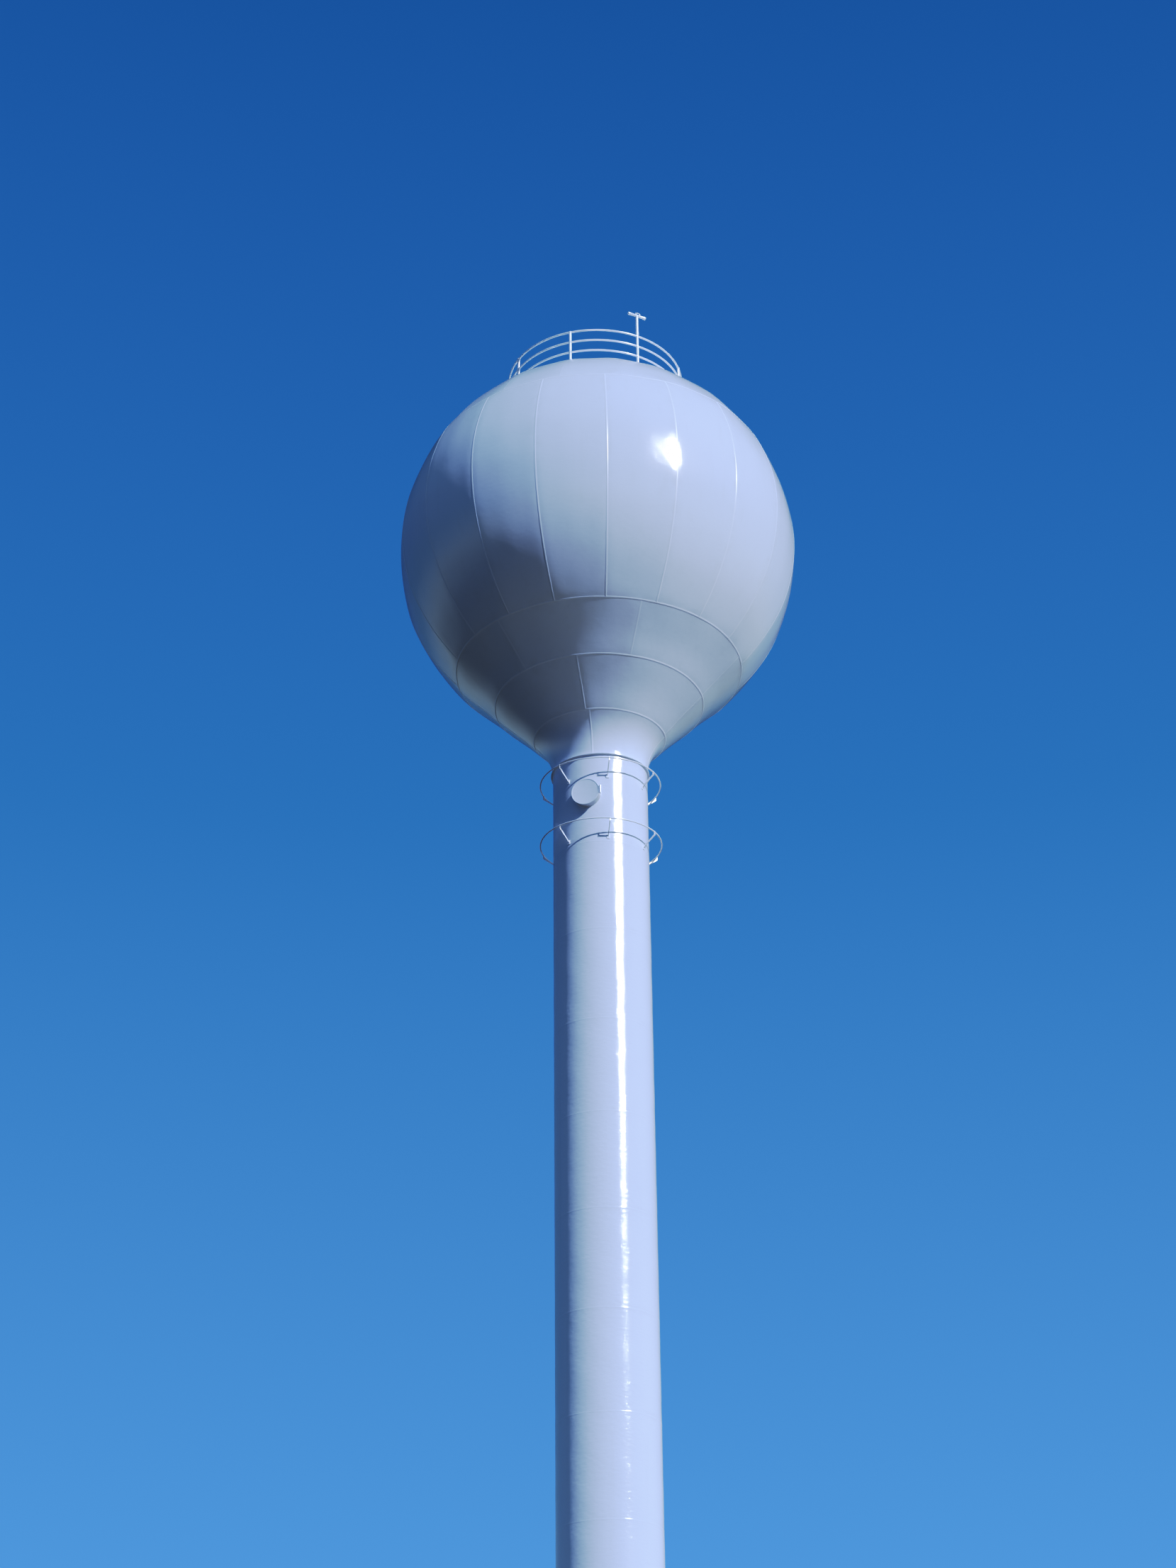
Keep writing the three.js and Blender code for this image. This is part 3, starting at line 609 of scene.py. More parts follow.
# Sum of sines with whole numbers of waves round the axis, so that it closes:
# depth / sqrt(terms) * sum of sin(m a + 2 pi s / length + p).
def waveField(azimuths, along, depth, shortest, longest, seed):
    random = np.random.RandomState(seed)
    field = np.zeros((len(azimuths), len(along)))
    a = np.radians(azimuths)[:, None]
    s = np.asarray(along)[None, :]
    for _ in range(waves["terms"]):
        wavesRound = random.randint(2, 9)
        length = random.uniform(shortest, longest)
        sign = random.choice([-1, 1])
        field += np.sin(wavesRound * a + sign * 2 * math.pi * s / length + random.uniform(0, 2 * math.pi))
    return field * depth / waves["terms"] ** 0.5


# Nearness to the closest of several marks: exp(-(distance / reach)^2).
def nearness(distance, reach):
    return np.exp(-(np.abs(distance) / reach) ** 2)


crownSeamHeight = sphereCentre + tank["radius"] * math.sin(math.radians(tank["crownSeam"]))
tankTop = sphereCentre + tank["radius"]
# Zones of tank plates: lowest and highest point, number of plates, azimuth of the first upright seam.
tankZones = [
    (crownSeamHeight, tankTop + 900, tank["gores"], tank["crownPetalSeam"]),
    (tangentHeight, crownSeamHeight, tank["gores"], tank["goreSeam"]),
    (middleSeamHeight, tangentHeight, tank["conePlates"], tank["coneSeam"]),
    (lowerSeamHeight, middleSeamHeight, tank["funnelPlates"], tank["funnelSeam"]),
    (column["top"], lowerSeamHeight, tank["knucklePlates"], tank["knuckleSeam"]),
]
tankLevels = [zone[0] for zone in tankZones[:-1]]


# Distance along the surface from a zone's nearest upright seam, and how much of the zone is left at a height:
# two logistic curves, one for each end.
def uprightSeams(zone, azimuths, line):
    low, high, count, firstSeam = zone
    step = 360 / count
    offset = (np.asarray(azimuths) - firstSeam + step / 2) % step - step / 2
    share = 1 / (1 + np.exp((low - line[:, 1]) / waves["blend"]))
    share = share / (1 + np.exp((line[:, 1] - high) / waves["blend"]))
    return np.radians(offset)[:, None] * line[None, :, 0], share


# Lift of the tank's plates = waves + peak at each upright seam + peak at each level seam.
def tankLift(azimuths, line):
    lift = waveField(azimuths, line[:, 1], waves["tankDepth"], 900, 3200, 11)
    full = np.clip(line[:, 0] / waves["fullPeakRadius"], 0, 1) ** 2
    for zone in tankZones:
        distance, share = uprightSeams(zone, azimuths, line)
        lift = lift + waves["peak"] * full * share * nearness(distance, waves["peakReach"])
    for level in tankLevels:
        over = line[:, 1] - level
        reach = np.where(over > 0, waves["reachAbove"], waves["reachBelow"])
        lift = lift + waves["levelPeak"] * nearness(over, reach)
    return lift


# The seam attribute: 1 on a weld, falling to 0 beside it.
def tankSeam(azimuths, line):
    seam = np.zeros((len(azimuths), len(line)))
    for zone in tankZones:
        distance, share = uprightSeams(zone, azimuths, line)
        seam = np.maximum(seam, share * nearness(distance, waves["seamReach"]))
    for level in tankLevels:
        seam = np.maximum(seam, nearness(line[:, 1] - level, waves["seamReach"]))
    return seam


# Lift of the column's and the bell's plates: waves alone.
def columnLift(azimuths, line):
    return waveField(azimuths, line[:, 1], waves["columnDepth"], 500, 1800, 16)


def bellLift(azimuths, line):
    return waveField(azimuths, line[:, 1], waves["columnDepth"], 700, 2200, 17)


# Points of the plates' grids: up a plate, across it or round the whole shell, and up one can of the column.
grids = {
    "goreUp": 76, "goreAcross": 25, "coneUp": 20, "coneAcross": 61, "knuckleUp": 22,
    "crownUp": 60, "crownRound": 288, "crownEnd": 86.6,    # latitude where the vent takes over
    "canUp": 20, "columnRound": 96, "bellUpperUp": 50, "bellLowerUp": 56, "bellRound": 128,
}


# The seam value at each point of a shell plate, whose inner side runs back along the line.
def bothSides(seam):
    return np.concatenate([seam, seam[:, ::-1]], 1).ravel()


# A zone of plates, one piece for each, between two upright seams.
def plateZone(name, nodeName, line, count, firstSeam, thickness, across):
    step = 360 / count
    for i in range(count):
        azimuths = firstSeam + i * step + np.linspace(0, step, across)
        chunk = shellPlate(line, azimuths, thickness, tankLift(azimuths, line))
        label = f"{i + 1:02d}"
        makePiece(name + label, [chunk], tankPaint, [f"{nodeName}_{label}"],
                  bothSides(tankSeam(azimuths, line)))


plateZone("tankGore", "tank_gore", sphereLine(-tank["slope"], tank["crownSeam"], grids["goreUp"]),
          tank["gores"], tank["goreSeam"], tank["gorePlate"], grids["goreAcross"])
plateZone("conePlate", "cone_plate", coneLine(tank["middleSeam"], tangentRadius, grids["coneUp"]),
          tank["conePlates"], tank["coneSeam"], tank["conePlate"], grids["coneAcross"])
plateZone("funnelPlate", "funnel_plate", coneLine(tank["lowerSeam"], tank["middleSeam"], grids["coneUp"]),
          tank["funnelPlates"], tank["funnelSeam"], tank["conePlate"], grids["coneAcross"])
knuckleFoot = tank["floorPlate"] / 2 / knuckleArc    # the angle at which the knuckle leaves the tank floor
plateZone("knucklePlate", "knuckle_plate", knuckleLine(knuckleFoot, grids["knuckleUp"]),
          tank["knucklePlates"], tank["knuckleSeam"], tank["conePlate"], grids["coneAcross"])


# Crown: the whole cap in one ring, up to the vent.
def makeCrown():
    line = sphereLine(tank["crownSeam"], grids["crownEnd"], grids["crownUp"])
    azimuths = fullCompass(grids["crownRound"])
    chunk = shellPlate(line, azimuths, tank["crownPlate"], tankLift(azimuths, line), wrap=True)
    seam = bothSides(tankSeam(azimuths, line))
    makePiece("crownCap", [chunk], tankPaint, ["crown_cap"], seam)


makeCrown()


# Column: one ring for each section, wavy along its length, with the girth seams in its seam attribute.
def makeColumn():
    top = column["top"]
    azimuths = fullCompass(grids["columnRound"])
    for i, courses in enumerate(column["sections"]):
        low = top - courses * column["course"] - (column["topExtra"] if i == 0 else 0)
        high = top - (tank["floorPlate"] / 2 if i == 0 else 0)
        line = columnLine(low, high, courses * grids["canUp"] + 1)
        lift = columnLift(azimuths, line)
        fromSeam = (line[:, 1] - courseTop + column["course"] / 2) % column["course"] - column["course"] / 2
        seam = np.broadcast_to(nearness(fromSeam, waves["seamReach"] / 2), lift.shape)
        chunk = shellPlate(line, azimuths, column["plate"], lift + waves["girthPeak"] * seam, wrap=True)
        makePiece(f"columnSection{i + 1}", [chunk], columnPaint, [f"column_section_{i + 1}"],
                  bothSides(seam))
        top = low


makeColumn()
print("tank and column made")

# Weld beads, in real millimetres. Those of the column and the crown's petals are ground flatter. The points
# are counted up one zone of plates or one can.
welds = {
    "width": 52, "height": 4, "flatHeight": 1.4, "step": 50, "fillet": 18,
    "gorePoints": 150, "crownPoints": 120, "crownEnd": 84, "conePoints": 30, "knucklePoints": 28,
    "canPoints": 50,
}


# Path down a line at one azimuth, raised with the plates under it, with its normals.
def uprightPath(line, azimuth, lift):
    a = math.radians(azimuth)
    normals = roundAxis(np.cos(line[:, 2]), a, np.sin(line[:, 2]))
    return roundAxis(line[:, 0], a, line[:, 1]) + normals * lift([azimuth], line).T, normals


# Level circle on the surface, raised in the same way.
def levelPath(row, lift):
    radius, height, normal = row
    a = fullTurn(max(48, int(2 * math.pi * radius / welds["step"])))
    normals = roundAxis(math.cos(normal), a, math.sin(normal))
    return roundAxis(radius, a, height) + normals * lift(np.degrees(a), np.array([row])), normals


# The beads on one zone's upright seams, and the bead on one level seam.
def uprightWelds(line, count, firstSeam, height=welds["height"]):
    azimuths = [firstSeam + i * 360 / count for i in range(count)]
    return [weldBead(*uprightPath(line, azimuth, tankLift), welds["width"], height, False)
            for azimuth in azimuths]


def levelWeld(row, lift, height=welds["height"], width=welds["width"]):
    return weldBead(*levelPath(row, lift), width, height, True)


# All beads of the tank's plates, then the column's: a girth bead over each can and an upright one down it,
# each can's a step further round.
def makeWelds():
    gores = sphereLine(-tank["slope"], tank["crownSeam"], welds["gorePoints"])
    crown = sphereLine(tank["crownSeam"], welds["crownEnd"], welds["crownPoints"])
    # The tank's beads take the lighter weld paint: a painted highlight.
    makePiece("goreWelds", uprightWelds(gores, tank["gores"], tank["goreSeam"]), weldHighlightPaint)
    petals = uprightWelds(crown, tank["gores"], tank["crownPetalSeam"], welds["flatHeight"])
    makePiece("crownWelds", petals, tankPaint)
    cone = coneLine(tank["middleSeam"], tangentRadius, welds["conePoints"])
    funnel = coneLine(tank["lowerSeam"], tank["middleSeam"], welds["conePoints"])
    knuckle = knuckleLine(tank["floorPlate"] / knuckleArc, welds["knucklePoints"])
    uprights = uprightWelds(cone, tank["conePlates"], tank["coneSeam"], welds["flatHeight"])
    uprights += uprightWelds(funnel, tank["funnelPlates"], tank["funnelSeam"])
    uprights += uprightWelds(knuckle, tank["knucklePlates"], tank["knuckleSeam"])
    makePiece("coneWelds", uprights, weldHighlightPaint)
    levels = [levelWeld(row, tankLift) for row in (crown[0], crown[-1], gores[0], funnel[-1], funnel[0])]
    makePiece("tankLevelWelds", levels, weldHighlightPaint)
    girths = []
    for i in range(sum(column["sections"])):
        high = courseTop - i * column["course"] if i else column["top"]
        if i:
            girths.append(levelWeld((column["radius"], high, 0.0), columnLift, welds["flatHeight"]))
        low = courseTop - (i + 1) * column["course"]
        can = columnLine(low, high - tank["floorPlate"], welds["canPoints"])
        seamAzimuth = column["firstUprightSeam"] + (i * column["seamStep"]) % column["seamSpan"]
        upright = uprightPath(can, seamAzimuth, columnLift)
        girths.append(weldBead(*upright, welds["width"], welds["flatHeight"], False))
    for height in (bellTop, bell["split"]):
        girths.append(levelWeld(bellLine(np.array([height]))[0], bellLift, welds["flatHeight"]))
    makePiece("columnWelds", girths, columnPaint)
    ledge = column["top"] - tank["floorPlate"] / 2
    fillet = levelWeld((column["radius"] + 2, ledge - 2, -math.pi / 4), columnLift,
                       welds["fillet"] / 2, welds["fillet"])
    makePiece("ledgeWeld", [fillet], columnPaint)


makeWelds()
print("welds made")


# Ledge at the top of the column: the tank floor, a flat disc turned from a profile with a rounded rim.
def makeLedge():
    rim, low = tank["floorRadius"], column["top"] - tank["floorPlate"] / 2
    high = low + tank["floorPlate"]
    profile = [[0.5, low], [rim - 4, low], [rim - 1, low + 1], [rim, low + 4], [rim, high - 4],
               [rim - 1, high - 1], [rim - 4, high], [0.5, high]]
    makePiece("tankFloor", [turn(profile, origin, upward, 160)], columnPaint, ["tank_floor"])


makeLedge()

# Rigging rings: a round rod on bracket plates that stand on edge, each welded to a pad on the column.
rigging = {
    "heights": [36300, 34543], "radius": 1563, "rod": 18,
    "azimuths": [-107.5, -41.5, 8.5, 61, 113, 180],
    "lug": 80, "drop": 360, "barWidth": 20, "barDepth": 30,
    "padWidth": 76, "padHeight": 120, "padThickness": 14, "padSunk": 3,
}


# Outline of a bracket in radius and height: a lug under the rod, then a bar that slants in to its pad.
def bracketOutline(height):
    half, ring = rigging["barDepth"] / 2, rigging["radius"]
    lug, foot = height - rigging["lug"], height - rigging["drop"]
    padFront = column["radius"] + rigging["padThickness"]
    upper = [[padFront - half, foot + rigging["barDepth"]], [ring - half, lug + half]]
    lower = [[padFront - half, foot - half], [ring + half, lug - half]]
    end = padFront - 5
    ends = [np.interp(end, *np.transpose(edge)) for edge in (upper, lower)]
    return roundedCorners([[ring - half, height], upper[1], [end, ends[0]], [end, ends[1]], lower[1],
                           [ring + half, height]], 6)


# Profile of a weld collar round a rod, over a plate or pipe that reaches half to each side of it.
def collar(rod, half, swell, run):
    return [[rod, -half - run], [rod + swell, -half], [rod + swell, half], [rod, half + run]]


# Each ring: a torus, and at each azimuth a bracket slab, its pad on the column, and a collar on the rod.
def makeRigging():
    for name, node, height in zip(("riggingRingUpper", "riggingRingLower"),
                                  ("rigging_ring_upper", "rigging_ring_lower"), rigging["heights"]):
        chunks = [ringRod(rigging["radius"], height, rigging["rod"], 200, 14)]
        outline = bracketOutline(height)
        pad = roundedRectangle(rigging["padWidth"], rigging["padHeight"], 10)
        ring = collar(rigging["rod"] - 1, rigging["barWidth"] / 2, 7, 10)
        for azimuth in rigging["azimuths"]:
            out, side, up = bearing(azimuth)
            chunks.append(slab(outline, side * rigging["barWidth"] / 2, out, up, rigging["barWidth"], 2))
            foot = out * (column["radius"] - rigging["padSunk"]) + up * (height - rigging["drop"])
            chunks.append(slab(pad, foot, side, up, rigging["padThickness"] + rigging["padSunk"], 2))
            chunks.append(turn(ring, out * rigging["radius"] + up * height, side, 14))
        makePiece(name, chunks, trimPaint, [node])


makeRigging()

# Manhole near the top of the column: neck, dished cover on a hinge pin, and the fillet weld round the neck.
manhole = {
    "azimuth": -15.8, "height": 35416, "neck": 350, "wall": 14, "inner": 1140, "outer": 1405,
    "cover": 370, "coverThickness": 24, "lip": 24, "dish": 10,
    "pin": 27, "pinLength": 230, "lug": 50, "lugWidth": 90, "lugInset": 40,
    "weldWidth": 18, "weldHeight": 7, "weldPoints": 160,
}


# Neck and cover are turned round the manhole's own level axis. The weld's path is the curve where the neck
# meets the column: depth = sqrt(column radius squared - distance across squared).
def makeManhole():
    out, side, up = bearing(manhole["azimuth"])
    centre = up * manhole["height"]
    n, w = manhole["neck"], manhole["wall"]
    inner, outer = manhole["inner"], manhole["outer"]
    neck = [[n - w, inner], [n, inner], [n, outer - 2], [n - 2, outer], [n - w, outer]]
    # The neck takes the darker paint: painted shade.
    makePiece("manholeNeck", [turn(neck, centre, out, 96, hollow=True)], neckShadePaint,
              ["manhole_neck"])
    c, face = manhole["cover"], outer + clearance
    back = face + manhole["coverThickness"]
    lip = c - manhole["lip"]
    across = np.linspace(lip - 4, 1, 16)    # dish: depth falls with the square of the radius
    dish = np.stack([across, back - 5 - manhole["dish"] * (1 - (across / lip) ** 2)], 1)
    cover = [[1, face], [c - 3, face], [c, face + 3], [c, back - 4], [c - 4, back], [lip, back], *dish]
    chunks = [turn(cover, centre, out, 128)]
    middle = manhole["coverThickness"] / 2
    pin, half = manhole["pin"], manhole["pinLength"] / 2
    hinge = centre + side * (c + pin - 4) + out * (face + middle)
    chunks.append(turn([[pin, -half + 4], [pin, half - 4], [pin - 4, half]], hinge, up, 20))
    lug = roundedRectangle(manhole["lugWidth"], manhole["lug"], 6, 3)
    for height in (-half + manhole["lugInset"], half - manhole["lugInset"]):
        chunks.append(slab(lug, hinge - side * 22 + up * height - out * middle, side, up,
                           manhole["coverThickness"], 2))
    makePiece("manholeCover", chunks, tankPaint, ["manhole_cover"])
    angle = fullTurn(manhole["weldPoints"])
    across, rise = n * np.cos(angle), n * np.sin(angle)
    depth = np.sqrt(column["radius"] ** 2 - across ** 2)
    path = centre + depth[:, None] * out + across[:, None] * side + rise[:, None] * up
    normals = np.cos(angle)[:, None] * side + np.sin(angle)[:, None] * up + out
    normals /= np.linalg.norm(normals, axis=1)[:, None]
    weld = weldBead(path, normals, manhole["weldWidth"], manhole["weldHeight"], True)
    makePiece("manholeWeld", [weld], columnPaint)


makeManhole()
print("column fittings made")

# Guard rail on the crown, and the mast on one of its posts.
rail = {
    "radius": 2440, "heights": [49400, 49052, 48703], "pipe": 27, "post": 36, "posts": 8, "postAzimuth": 29,
    "footPlate": 150, "footThickness": 12,
}
mast = {
    "pipe": 39, "socket": 43, "socketLength": 120, "top": 50116, "halfLength": 285, "bar": 37,
    "knob": 44, "knobLength": 90, "eyeReach": 66, "eyeRise": 40, "eyeLift": 30, "eyeOffset": 34, "eyeRod": 11,
}


# Rails are tori. A post stands where the crown's height is centre + sqrt(R squared - rail radius squared),
# on a foot plate that lies in the crown's slope, with a collar at each rail.
def makeRail():
    chunks = [ringRod(rail["radius"], height, rail["pipe"], 240, 14) for height in rail["heights"]]
    crownAngle = math.acos(rail["radius"] / tank["radius"])
    footHeight = sphereCentre + tank["radius"] * math.sin(crownAngle)
    top = rail["heights"][0] + rail["pipe"]
    post = [[rail["post"], footHeight - 20], [rail["post"], top - 4], [rail["post"] - 4, top]]
    plate = roundedRectangle(rail["footPlate"], rail["footPlate"], 14)
    joint = collar(rail["pipe"] + 2, rail["post"] - 2, 5, 8)
    for azimuth in rail["postAzimuth"] + fullCompass(rail["posts"]):
        out, side, up = bearing(azimuth)
        centre = out * rail["radius"]
        chunks.append(turn(post, centre, up, 20))
        normal = math.cos(crownAngle) * out + math.sin(crownAngle) * up
        uphill = np.cross(normal, side)
        foot = centre + up * footHeight - normal * 2
        chunks.append(slab(plate, foot, side, uphill, rail["footThickness"], 2))
        for height in rail["heights"]:
            chunks.append(turn(joint, centre + up * height, side, 14))
    makePiece("guardRail", chunks, trimPaint, ["guard_rail"])


# Oval eye: a rod carried round an ellipse, point = (reach + rod cos v) cos t * side
# + (rise + rod cos v) sin t * up + rod sin v * out.
def ovalEye(centre, out, side, up):
    t, v = fullTurn(40)[:, None], fullTurn(10)[None, :]
    reach, rise = (mast[key] + mast["eyeRod"] * np.cos(v) for key in ("eyeReach", "eyeRise"))
    eye = ((reach * np.cos(t))[..., None] * side + (rise * np.sin(t))[..., None] * up
           + (mast["eyeRod"] * np.sin(v) + 0 * t)[..., None] * out)
    return tube(eye + centre, closed=True)


# Pipe and socket are turned upright, and the crossbar with its thick ends is turned along the rail.
def makeMast():
    out, side, up = bearing(rail["postAzimuth"])
    centre = out * rail["radius"]
    foot = rail["heights"][0] + rail["pipe"] + clearance
    pipe = [[mast["pipe"], foot], [mast["pipe"], mast["top"] - 6]]
    socket = [[mast["socket"], foot], [mast["socket"], foot + mast["socketLength"] - 5],
              [mast["socket"] - 5, foot + mast["socketLength"]]]
    h, k = mast["halfLength"], mast["knob"]
    rise = np.linspace(0.15, math.pi / 2, 6)
    knobEnd = np.stack([k * np.sin(rise), -h + k * 0.55 * (1 - np.cos(rise))], 1)
    neck = [[k, -h + mast["knobLength"] - 8], [mast["bar"] + 3, -h + mast["knobLength"]],
            [mast["bar"], -h + mast["knobLength"] + 14]]
    halfBar = np.concatenate([knobEnd, neck])
    bar = np.concatenate([halfBar, halfBar[::-1] * [1, -1]])
    chunks = [turn(pipe, centre, up, 24), turn(socket, centre, up, 24),
              turn(bar, centre + up * mast["top"], side, 28)]
    eyeHeight = mast["top"] + mast["bar"] + mast["eyeLift"]
    chunks.append(ovalEye(centre + side * mast["eyeOffset"] + up * eyeHeight, out, side, up))
    makePiece("mastPipe", chunks, trimPaint, ["mast"])


makeRail()
makeMast()

# Roof fittings inside the rail.
vent = {
    "neck": 310, "rise": 330, "hood": 480, "crown": 130, "skirt": 110,
    "flange": 380, "bolts": 16, "straps": 8, "strapWidth": 30,
}
roofHatch = {
    "offset": 1320, "azimuth": 152, "radius": 370, "height": 190, "overhang": 26,
    "hinge": 14, "hingeLength": 90, "grip": 140, "gripRise": 55, "gripRod": 9,
}


# Neck and hood are one turned profile that ends in an elliptic dome: radius = h cos a, rise = crown sin a.
def makeVent():
    pole = sphereCentre + tank["radius"]
    edge = pole + vent["rise"]
    n, h = vent["neck"], vent["hood"]
    angle = np.linspace(0, math.pi / 2, 10)[:-1]
    dome = np.stack([h * np.cos(angle), edge + vent["crown"] * np.sin(angle)], 1)
    profile = [[1, pole - 24], [n, pole - 24], [n, edge - 4], [h - vent["skirt"], edge - 4],
               [h - 12, edge - vent["skirt"]], [h, edge - vent["skirt"]]]
    profile += dome.tolist() + [[1, edge + vent["crown"]]]
    chunks = [turn(profile, origin, upward, 72)]
    slopeDrop = tank["radius"] - math.sqrt(tank["radius"] ** 2 - vent["flange"] ** 2)
    flange = [[n - 4, pole - 10], [vent["flange"], pole - slopeDrop], [vent["flange"], pole - slopeDrop + 14],
              [n - 4, pole + 12]]
    chunks.append(turn(flange, origin, upward, 72, hollow=True))
    for azimuth in fullCompass(vent["bolts"]):
        out = bearing(azimuth)[0]
        chunks += hexBolt(out * (vent["flange"] - 30) + upward * (pole - slopeDrop + 15), upward, 24, 16)
    strap = roundedRectangle(vent["strapWidth"], vent["rise"] - 90, 4)
    for azimuth in fullCompass(vent["straps"]) + 180 / vent["straps"]:
        out, side, up = bearing(azimuth)
        chunks.append(slab(strap, out * (n + 1) + up * (pole + vent["rise"] / 2 + 20), side, up, 6, 1))
    makePiece("roofVent", chunks, trimPaint, ["roof_vent"])


# Rod along a path that bends in the plane with this normal: circle = cos t * across + sin t * normal.
def bentRod(path, normal, rod, sides):
    t = fullTurn(sides)
    tangent = np.gradient(path, axis=0)
    tangent /= np.linalg.norm(tangent, axis=1)[:, None]
    across = np.cross(tangent, normal)
    circles = np.cos(t)[:, None] * across[:, None] + np.sin(t)[:, None] * normal
    return tube(path[:, None] + rod * circles, closed=False)


# Curb and lid are turned round the crown's normal, whose tilt is asin(offset / R). The lid has two hinge
# barrels on its uphill side and a bent rod to lift it by.
def makeRoofHatch():
    out, side, up = bearing(roofHatch["azimuth"])
    tilt = math.asin(roofHatch["offset"] / tank["radius"])
    normal = math.sin(tilt) * out + math.cos(tilt) * up
    base = up * sphereCentre + normal * tank["radius"]
    r, h = roofHatch["radius"], roofHatch["height"]
    lidRadius = r + roofHatch["overhang"]
    curb = [[r, -24], [r, h - 16]]
    lid = [[1, h - 14], [lidRadius - 6, h - 14], [lidRadius - 6, h - 40], [lidRadius, h - 40],
           [lidRadius, h + 2], [lidRadius - 8, h + 10], [lidRadius * 0.5, h + 18], [1, h + 22]]
    chunks = [turn(curb, base, normal, 64), turn(lid, base, normal, 64)]
    downhill = math.cos(tilt) * out - math.sin(tilt) * up
    rod, half = roofHatch["hinge"], roofHatch["hingeLength"] / 2
    barrel = [[rod - 2, -half], [rod, 5 - half], [rod, half - 5], [rod - 2, half]]
    for shift in (-0.45, 0.45):
        knuckle = base - downhill * (lidRadius - 4) + side * shift * r + normal * (h - 4)
        chunks.append(turn(barrel, knuckle, side, 14))
    half, rise = roofHatch["grip"] / 2, roofHatch["gripRise"]
    grip = roundedCorners([[-half, 0], [-half, rise], [half, rise], [half, 0]], 24, 5, closed=False)
    centre = base + normal * (h + 12) + downhill * r * 0.62
    path = centre + grip[:, :1] * side + grip[:, 1:] * normal
    chunks.append(bentRod(path, downhill, roofHatch["gripRod"], 10))
    makePiece("roofHatch", chunks, trimPaint, ["roof_hatch"])


makeVent()
makeRoofHatch()
print("roof fittings made")

# Foot of the tower: bell, base ring with anchor chairs, and the door.
base = {
    "plate": 50, "outer": 3530, "inner": 3170, "chairs": 16, "chairHeight": 290, "chairWidth": 170,
    "chairPlate": 22, "chairClearance": 14, "bolt": 57, "weldWidth": 20, "weldHeight": 9,
}
door = {
    "width": 914, "height": 2032, "leaf": 45, "sill": 220, "surround": 60, "front": 3345, "recess": 30,
    "hinges": 3, "kickHeight": 240, "kickInset": 60, "lockInset": 75, "lockHeight": 1010,
}


# Cuts the door's opening out of a shell: a block from low to high, taken away by an exact boolean.
def cutDoorway(piece):
    low = np.array([-door["width"] / 2 - clearance, -base["outer"], door["sill"]])
    high = np.array([door["width"] / 2 + clearance, 0, door["sill"] + door["height"]])
    size = high - low
    outline = np.array([[0, 0], [size[0], 0], [size[0], size[1]], [0, size[1]]])
    points, blocks = slab(outline, low, [1, 0, 0], [0, 1, 0], size[2], 0.01)
    mesh = bpy.data.meshes.new("doorwayCutter")
    mesh.from_pydata(points.tolist(), [], [face.tolist() for block in blocks for face in block])
    cutter = bpy.data.objects.new("doorwayCutter", mesh)
    bpy.context.scene.collection.objects.link(cutter)
    modifier = piece.modifiers.new("doorway", "BOOLEAN")
    modifier.operation, modifier.solver, modifier.object = "DIFFERENCE", "EXACT", cutter
    view = bpy.context.evaluated_depsgraph_get()
    cut = bpy.data.meshes.new_from_object(piece.evaluated_get(view))
    piece.modifiers.clear()
    piece.data = cut
    bpy.data.objects.remove(cutter)


# Bell: two shells on the bell's line, with the seam between them in their seam attribute.
def makeBell():
    azimuths = fullCompass(grids["bellRound"])
    parts = (("bellUpper", "bell_upper", np.linspace(bell["split"], bellTop, grids["bellUpperUp"])),
             ("bellLower", "bell_lower", np.linspace(bell["foot"], bell["split"], grids["bellLowerUp"])))
    for name, node, heights in parts:
        line = bellLine(heights)
        lift = bellLift(azimuths, line)
        gap = np.abs(heights - bell["split"])
        seam = np.broadcast_to(nearness(gap, waves["seamReach"]), lift.shape)
        chunk = shellPlate(line, azimuths, bell["plate"], lift, wrap=True)
        piece = makePiece(name, [chunk], columnPaint, [node], bothSides(seam))
        if name == "bellLower":
            cutDoorway(piece)


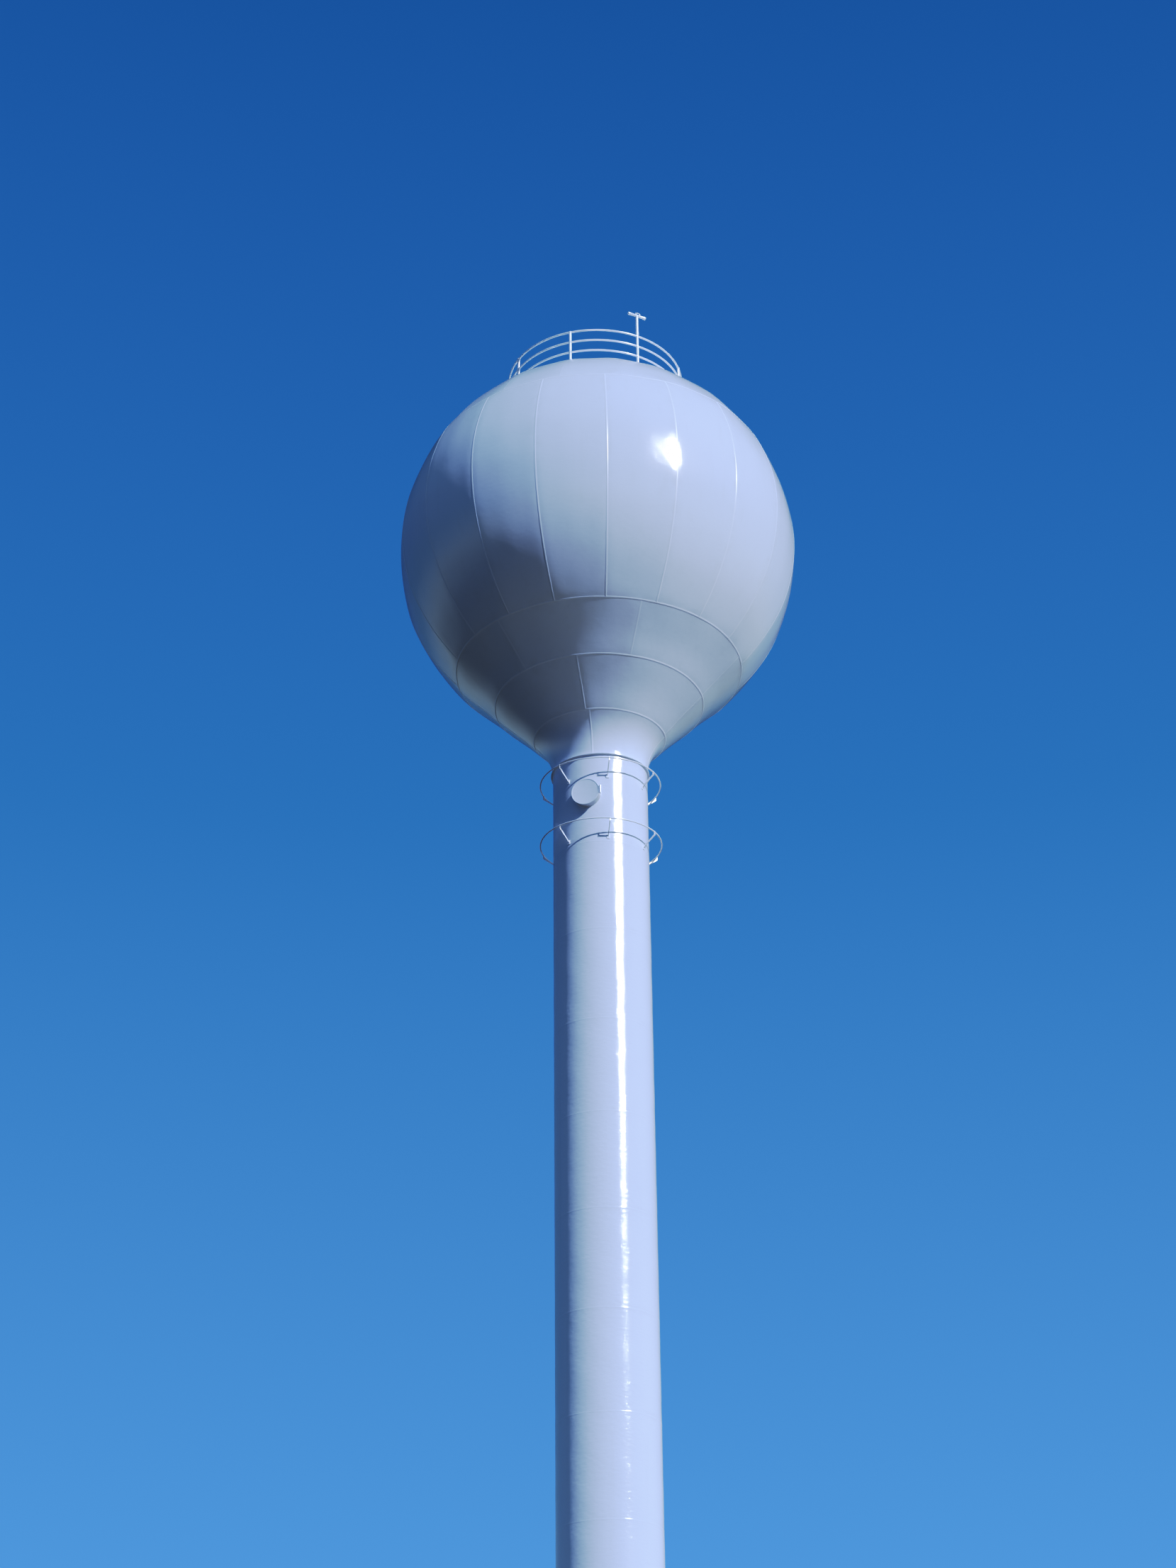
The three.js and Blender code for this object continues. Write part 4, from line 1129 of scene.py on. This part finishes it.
# Base ring: a turned flat ring. Each chair is two cheeks that lean back with the bell, a seat on top, and an
# anchor bolt through it with two nuts.
def makeBase():
    o, i, p = base["outer"], base["inner"], base["plate"]
    ring = [[i, 0], [o, 0], [o, p - 4], [o - 4, p], [i, p]]
    chunks = [turn(ring, origin, upward, 160, hollow=True)]
    bolts = []
    lean = base["chairHeight"] * math.tan(bellAngle)
    top, plate, halfWidth = p + base["chairHeight"], base["chairPlate"], base["chairWidth"] / 2
    foot, outer = bell["baseRadius"] + base["chairClearance"], o - plate
    cheek = np.array([[foot, p], [outer, p], [outer, top - plate], [foot - lean * 0.93, top - plate]])
    seat = np.array([[foot - lean, -halfWidth], [outer + 8, -halfWidth], [outer + 8, halfWidth],
                     [foot - lean, halfWidth]])
    for azimuth in fullCompass(base["chairs"]) + 180 / base["chairs"]:
        out, side, up = bearing(azimuth)
        for start in (plate - halfWidth, halfWidth):
            chunks.append(slab(cheek, side * start, out, up, plate, 1.5))
        chunks.append(slab(seat, up * (top - plate), out, side, plate, 2))
        centre = out * (foot + outer) / 2
        rod = base["bolt"] / 2
        bolts.append(turn([[rod, p], [rod, top + 100], [rod - 5, top + 106]], centre, up, 20))
        bolts += hexBolt(centre + up * top, up, base["bolt"] * 1.6, base["bolt"] * 0.95)
        bolts += hexBolt(centre + up * (top + 48), up, base["bolt"] * 1.6, base["bolt"] * 0.7)
    makePiece("baseRing", chunks, trimPaint, ["base_ring"])
    makePiece("anchorBolts", bolts, fastenerSteel)
    foot = bellLine(np.array([float(bell["foot"])]))[0]
    row = (foot[0] + 2, foot[1] + 3, math.pi / 4)
    fillet = levelWeld(row, bellLift, base["weldHeight"], base["weldWidth"])
    makePiece("bellFootWeld", [fillet], columnPaint)


# Door: a slab with a kick plate, hinge barrels with their wings, and a lock plate with a lever and a keyhole.
def makeDoor():
    out, side, up = bearing(0)
    w, h, sill = door["width"], door["height"], door["sill"]
    leafFront = door["front"] - door["recess"]
    outline = roundedRectangle(w - 2 * clearance, h - 2 * clearance, 3, 3)
    middle = up * (sill + h / 2)
    leaf = [slab(outline, out * (leafFront - door["leaf"]) + middle, side, up, door["leaf"], 1.5)]
    kick = roundedRectangle(w - 2 * door["kickInset"], door["kickHeight"], 4, 3)
    leaf.append(slab(kick, out * (leafFront - 1) + up * (sill + 160), side, up, 3, 0.6))
    makePiece("doorLeaf", leaf, doorPaint, ["door"])
    hardware = []
    barrel, wing = [[9, -60], [11, -57], [11, 57], [9, 60]], roundedRectangle(64, 110, 3, 3)
    for height in sill + h * np.linspace(0.12, 0.88, door["hinges"]):
        hinge = side * (4 - w / 2) + up * height
        hardware.append(turn(barrel, hinge + out * (leafFront + 10), up, 16))
        hardware.append(slab(wing, hinge + side * 36 + out * (leafFront - 1), side, up, 4, 0.8))
    lock = side * (w / 2 - door["lockInset"]) + up * (sill + door["lockHeight"])
    hardware.append(slab(roundedRectangle(58, 210, 12), lock + out * (leafFront - 1), side, up, 6, 1))
    hardware.append(turn([[13, 0], [13, 46], [10, 50]], lock + out * leafFront + up * 30, out, 18))
    lever = [[10, 0], [11, 6], [9, 118], [5, 124]]
    hardware.append(turn(lever, lock + out * (leafFront + 42) + up * 30 + side * 8, -side, 16))
    hardware.append(turn([[19, 0], [19, 12], [15, 15]], lock + out * leafFront - up * 55, out, 20))
    makePiece("doorHardware", hardware, fastenerSteel)


# Surround: two cheeks, a head and a sill, whose back edges follow the bell: depth = sqrt(radius^2 - x^2).
def makeSurround():
    out, side, up = bearing(0)
    w, h, t = door["width"], door["height"], door["surround"]
    front, sill = door["front"], door["sill"]
    chunks = []
    heights = np.linspace(sill, sill + h, 24)
    for x in (-(w + t) / 2, (w + t) / 2):
        back = np.sqrt(bellLine(heights)[:, 0] ** 2 - x ** 2) - 4
        cheek = np.concatenate([np.stack([back, heights], 1), [[front, heights[-1]], [front, heights[0]]]])
        chunks.append(slab(cheek, side * (x + t / 2), out, up, t, 2))
    for low, high in ((sill - t, sill), (sill + h, sill + h + t)):
        x = np.linspace(-w / 2 - t, w / 2 + t, 20)
        radius = bellLine(np.array([low]))[0, 0]
        back = np.sqrt(radius ** 2 - x ** 2) - 6
        outline = np.concatenate([np.stack([x, back], 1), [[w / 2 + t, front], [-w / 2 - t, front]]])
        chunks.append(slab(outline, up * high, side, out, high - low, 2))
    drip = roundedRectangle(w + 2 * t + 20, 40, 4, 3)
    chunks.append(slab(drip, up * (sill + h + t + 8) + out * (front - 22), side, out, 8, 1))
    makePiece("doorSurround", chunks, trimPaint, ["door_surround"])


makeBell()
makeBase()
makeDoor()
makeSurround()
print("foot made")


# Floor of the studio: a wide disc with a fine plaster grain. It isn't part of the tower, and the dome's dark
# ground lights the tower from below in its place.
def makeFloor():
    angle = fullTurn(128)
    points = np.stack([np.cos(angle), np.sin(angle), 0 * angle], 1) * studio["floorRadius"]
    mesh = bpy.data.meshes.new("studioFloor")
    mesh.from_pydata(points.tolist(), [], [list(range(len(angle)))])
    material = bpy.data.materials.new("studioFloor")
    material.use_nodes = True
    tree = material.node_tree
    shader = tree.nodes["Principled BSDF"]
    shader.inputs["Roughness"].default_value = 1.0
    shader.inputs["Specular IOR Level"].default_value = 0.0
    where = addNode(tree, "ShaderNodeTexCoord").outputs["Object"]
    noise = addNode(tree, "ShaderNodeTexNoise", None, {"Scale": 0.3 / realMetre, "Detail": 6.0},
                    {"Vector": where})
    low = tuple(c * studio["floorShade"] for c in studio["floorColour"])
    tint = addNode(tree, "ShaderNodeMix", {"data_type": "RGBA"},
                   {6: (*low, 1), 7: (*studio["floorColour"], 1)}, {0: noise.outputs["Fac"]})
    tree.links.new(tint.outputs[2], shader.inputs["Base Color"])
    mesh.materials.append(material)
    floor = bpy.data.objects.new("studioFloor", mesh)
    bpy.context.scene.collection.objects.link(floor)
    floor.visible_diffuse = floor.visible_glossy = floor.visible_shadow = False


makeFloor()
print("floor made")
